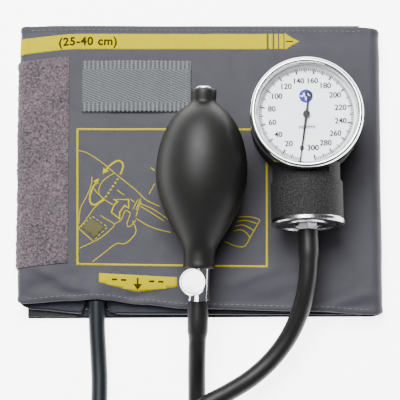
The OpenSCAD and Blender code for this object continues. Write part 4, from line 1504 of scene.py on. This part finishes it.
printed = make_range_band() + make_artery_label() + make_picture()
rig.sheet(
    cuff_cloth, flat=band_size, held="folded", rests_on=["bladder"], with_pieces=sewn_on_cuff + printed,
)
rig.sheet(cuff_lining, flat=band_size, held="folded", rests_on=["bladder"])

# ---- Bulb ----

BULB_R = 22.5
BULB_TOP = 35.2
BULB_TAPER = 47.8
INLET_NECK_R = 6.1
VALVE_NECK_R = 7.6
INLET_NECK_Y = 41.3
VALVE_NECK_Y = -47.4
VALVE_BORE_R = 4.2
INLET_BORE_R = 3.6
BULB_WALL = 3
NECK_SOFTNESS = 1.1
NECK_BLEND_R = 14  # a neck only widens the bulb where its body is thinner than this


def bulb_radius(y):
    """The bulb's outside radius along its axis, with a soft run into each neck."""
    if y > 0:
        body = BULB_R * math.sqrt(max(0.0, 1 - (y / BULB_TOP) ** 2))
        neck = INLET_NECK_R
    else:
        body = BULB_R * math.cos(min(math.pi / 2, math.pi / 2 * -y / BULB_TAPER))
        neck = VALVE_NECK_R
    if body >= NECK_BLEND_R:
        return body
    return NECK_SOFTNESS * math.log(math.exp(body / NECK_SOFTNESS) + math.exp(neck / NECK_SOFTNESS))


def make_bulb():
    """The hollow bulb: the valve's neck, its outside, the inlet's neck and its inside."""
    outline = [(VALVE_BORE_R, -38), (VALVE_BORE_R, VALVE_NECK_Y)]
    outline += [(6.9, VALVE_NECK_Y), (7.5, VALVE_NECK_Y + 0.3)]
    outline += [(7.85, VALVE_NECK_Y + 0.9), (7.85, VALVE_NECK_Y + 2.2)]
    outline += [(bulb_radius(y), y) for y in steps(VALVE_NECK_Y + 3.2, 36, 1.0)]
    outline += [(INLET_NECK_R + 0.1, 37), (INLET_NECK_R + 0.15, 39.4), (INLET_NECK_R, 40.6)]
    outline += [(INLET_NECK_R - 0.4, 41.1), (INLET_NECK_R - 1.0, INLET_NECK_Y)]
    outline += [(INLET_BORE_R, INLET_NECK_Y), (INLET_BORE_R, 30.5)]
    outline += [(max(INLET_BORE_R, bulb_radius(y) - BULB_WALL), y) for y in steps(30, -36, -3.0)]
    piece = lathe("rubber_bulb", outline, bulb_frame, BULB_RUBBER, sides=128)
    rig.replaces(piece, "bulb")
    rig.slot(piece, "bulb_rubber")


make_bulb()

# ---- Dial ----

ZERO_ANGLE = 8.7
SWEEP = 342.0
FULL_SCALE = 300
DIAL_TOP = 16.1
TICK_R = 23.3
TICKS = [(20, 2.8, 0.75), (10, 2.2, 0.65), (2, 1.5, 0.5)]  # every so many units: a length and a width
NUMBER_R = 17.1
DISC_Y = 9.2
DISC_R = 3.4
DIAL_PRINT_THICKNESS = 0.16
NUMBER_BOLD = 0.08  # each number is printed three times, this far apart, to thicken its strokes


def dial_direction(value):
    """Unit vector on the dial towards a pressure: clockwise from just left of straight down."""
    a = math.radians(ZERO_ANGLE + SWEEP * value / FULL_SCALE)
    return Vector((-math.sin(a), -math.cos(a)))


def dial_piece(name, shape, material, lift=PRINT_LIFT):
    """Turns a flat bmesh in the dial's plane into a thin print on the dial."""
    face_up(shape)
    for vert in shape.verts:
        vert.co = gauge_frame @ (Vector((vert.co.x, vert.co.y, DIAL_TOP + lift)) * MM)
    return thin_piece(name, shape, material, DIAL_PRINT_THICKNESS, "dial_white")


def make_ticks():
    """The scale's marks, the longest at every number."""
    shape = bmesh.new()
    for value in range(0, FULL_SCALE + 1, 2):
        out = dial_direction(value)
        length, width = next((length, width) for every, length, width in TICKS if value % every == 0)
        add_stroke(shape, [tuple(out * (TICK_R - length)), tuple(out * TICK_R)], width)
    dial_piece("dial_ticks", shape, DIAL_BLACK)


def make_numbers():
    """The scale's numbers and its unit."""
    shape = bmesh.new()
    for value in range(0, FULL_SCALE + 1, 20):
        spot = dial_direction(value) * NUMBER_R
        for shift in (-NUMBER_BOLD, 0, NUMBER_BOLD):
            digits = glyphs(str(value), 3.9, (spot.x + shift, spot.y), bold=0.05)
            flat = bpy.data.meshes.new("digits")
            digits.to_mesh(flat)
            digits.free()
            shape.from_mesh(flat)
            bpy.data.meshes.remove(flat)
    dial_piece("dial_numbers", shape, DIAL_BLACK)
    dial_piece("dial_unit", glyphs("mmHg", 3.0, (0.2, -6.2), bold=0.06), DIAL_BLACK)


def make_disc():
    """A plain blue disc with a pulse line."""
    disc = bmesh.new()
    place = Matrix.Translation((0, DISC_Y, 0))
    bmesh.ops.create_circle(disc, cap_ends=True, segments=40, radius=DISC_R, matrix=place)
    dial_piece("dial_disc", disc, DIAL_BLUE)
    beats = [(-2.8, 0), (-1.5, 0), (-0.9, 1.4), (0, -1.9), (0.9, 1.8), (1.5, 0), (2.8, 0)]
    pulse = bmesh.new()
    add_stroke(pulse, [(x, DISC_Y + y) for x, y in beats], 0.5)
    dial_piece("dial_pulse", pulse, DIAL_WHITE, OVERPRINT_LIFT)


make_ticks()
make_numbers()
make_disc()

# ---- Bezel ----


def make_bezel():
    """A polished rolled ring, with a sloped inner wall down to the glass."""
    outline = [
        (26.2, 13.0), (27.4, 13.0), (27.7, 13.15), (27.8, 13.5), (27.8, 20.6), (27.72, 21.3), (27.45, 21.95),
        (27.0, 22.45), (26.45, 22.75), (26.0, 22.8), (25.7, 22.65), (25.3, 22.15), (24.8, 21.45),
        (24.4, 20.85), (24.3, 20.6), (24.3, 20.4), (26.2, 20.4),
    ]
    piece = lathe("bezel_ring", outline, gauge_frame, CHROME, sides=160, axis="Z")
    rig.replaces(piece, "bezel")
    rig.slot(piece, "chrome")


make_bezel()

# ---- The CAD parts that keep their own shape ----

FINISHES = {
    "bladder": SEAL_RUBBER, "bladder_port": SEAL_RUBBER, "y_connector": PLASTIC,
    "intake_body": BRUSHED, "intake_ball": CHROME, "intake_cage": BRASS,
    "valve_body": CHROME, "outlet_seat": BRASS, "outlet_flap": SEAL_RUBBER, "packing_nut": BRUSHED,
    "packing_ring": SEAL_RUBBER, "needle_spindle": BRUSHED, "release_knob": CHROME,
    # drum_cap takes nickel darkened as painted shade
    "head_case": CRACKLE, "drum_shell": CRACKLE, "drum_cap": SHADED_NICKEL, "hose_nozzle": BRUSHED,
    "nozzle_nut": BRASS, "capsule_rear": BRASS, "capsule_front": BRASS, "push_pin": BRUSHED,
    "movement_plate_lower": BRASS, "movement_plate_upper": BRASS, "plate_pillars": BRASS,
    "plate_screws": BRUSHED, "sector_gear": BRASS, "sector_arbor": BRUSHED, "pointer_arbor": POINTER_BLACK,
    # dial_ring takes the dial's white greyed as painted shade
    "hairspring": BRUSHED, "dial_plate": DIAL_WHITE, "dial_ring": SHADED_RING_WHITE, "pointer": POINTER_BLACK,
    "lens": GLASS, "lens_gasket": SEAL_RUBBER, "back_clip": BRUSHED, "clip_rivets": BRUSHED,
}


def finish_cad_nodes():
    """Gives each CAD node its material, and smooth shading between its sharp edges."""
    for name, material in FINISHES.items():
        data = nodes[name].data
        data.materials.clear()
        data.materials.append(material)
        data.polygons.foreach_set("use_smooth", [True] * len(data.polygons))
        data.set_sharp_from_angle(angle=math.radians(30))


finish_cad_nodes()

visual_low, visual_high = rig.bounds()
with open("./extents.json", "w") as size_file:
    json.dump({"cad": [list(cad_low), list(cad_high)], "visual": [list(visual_low), list(visual_high)]}, size_file)
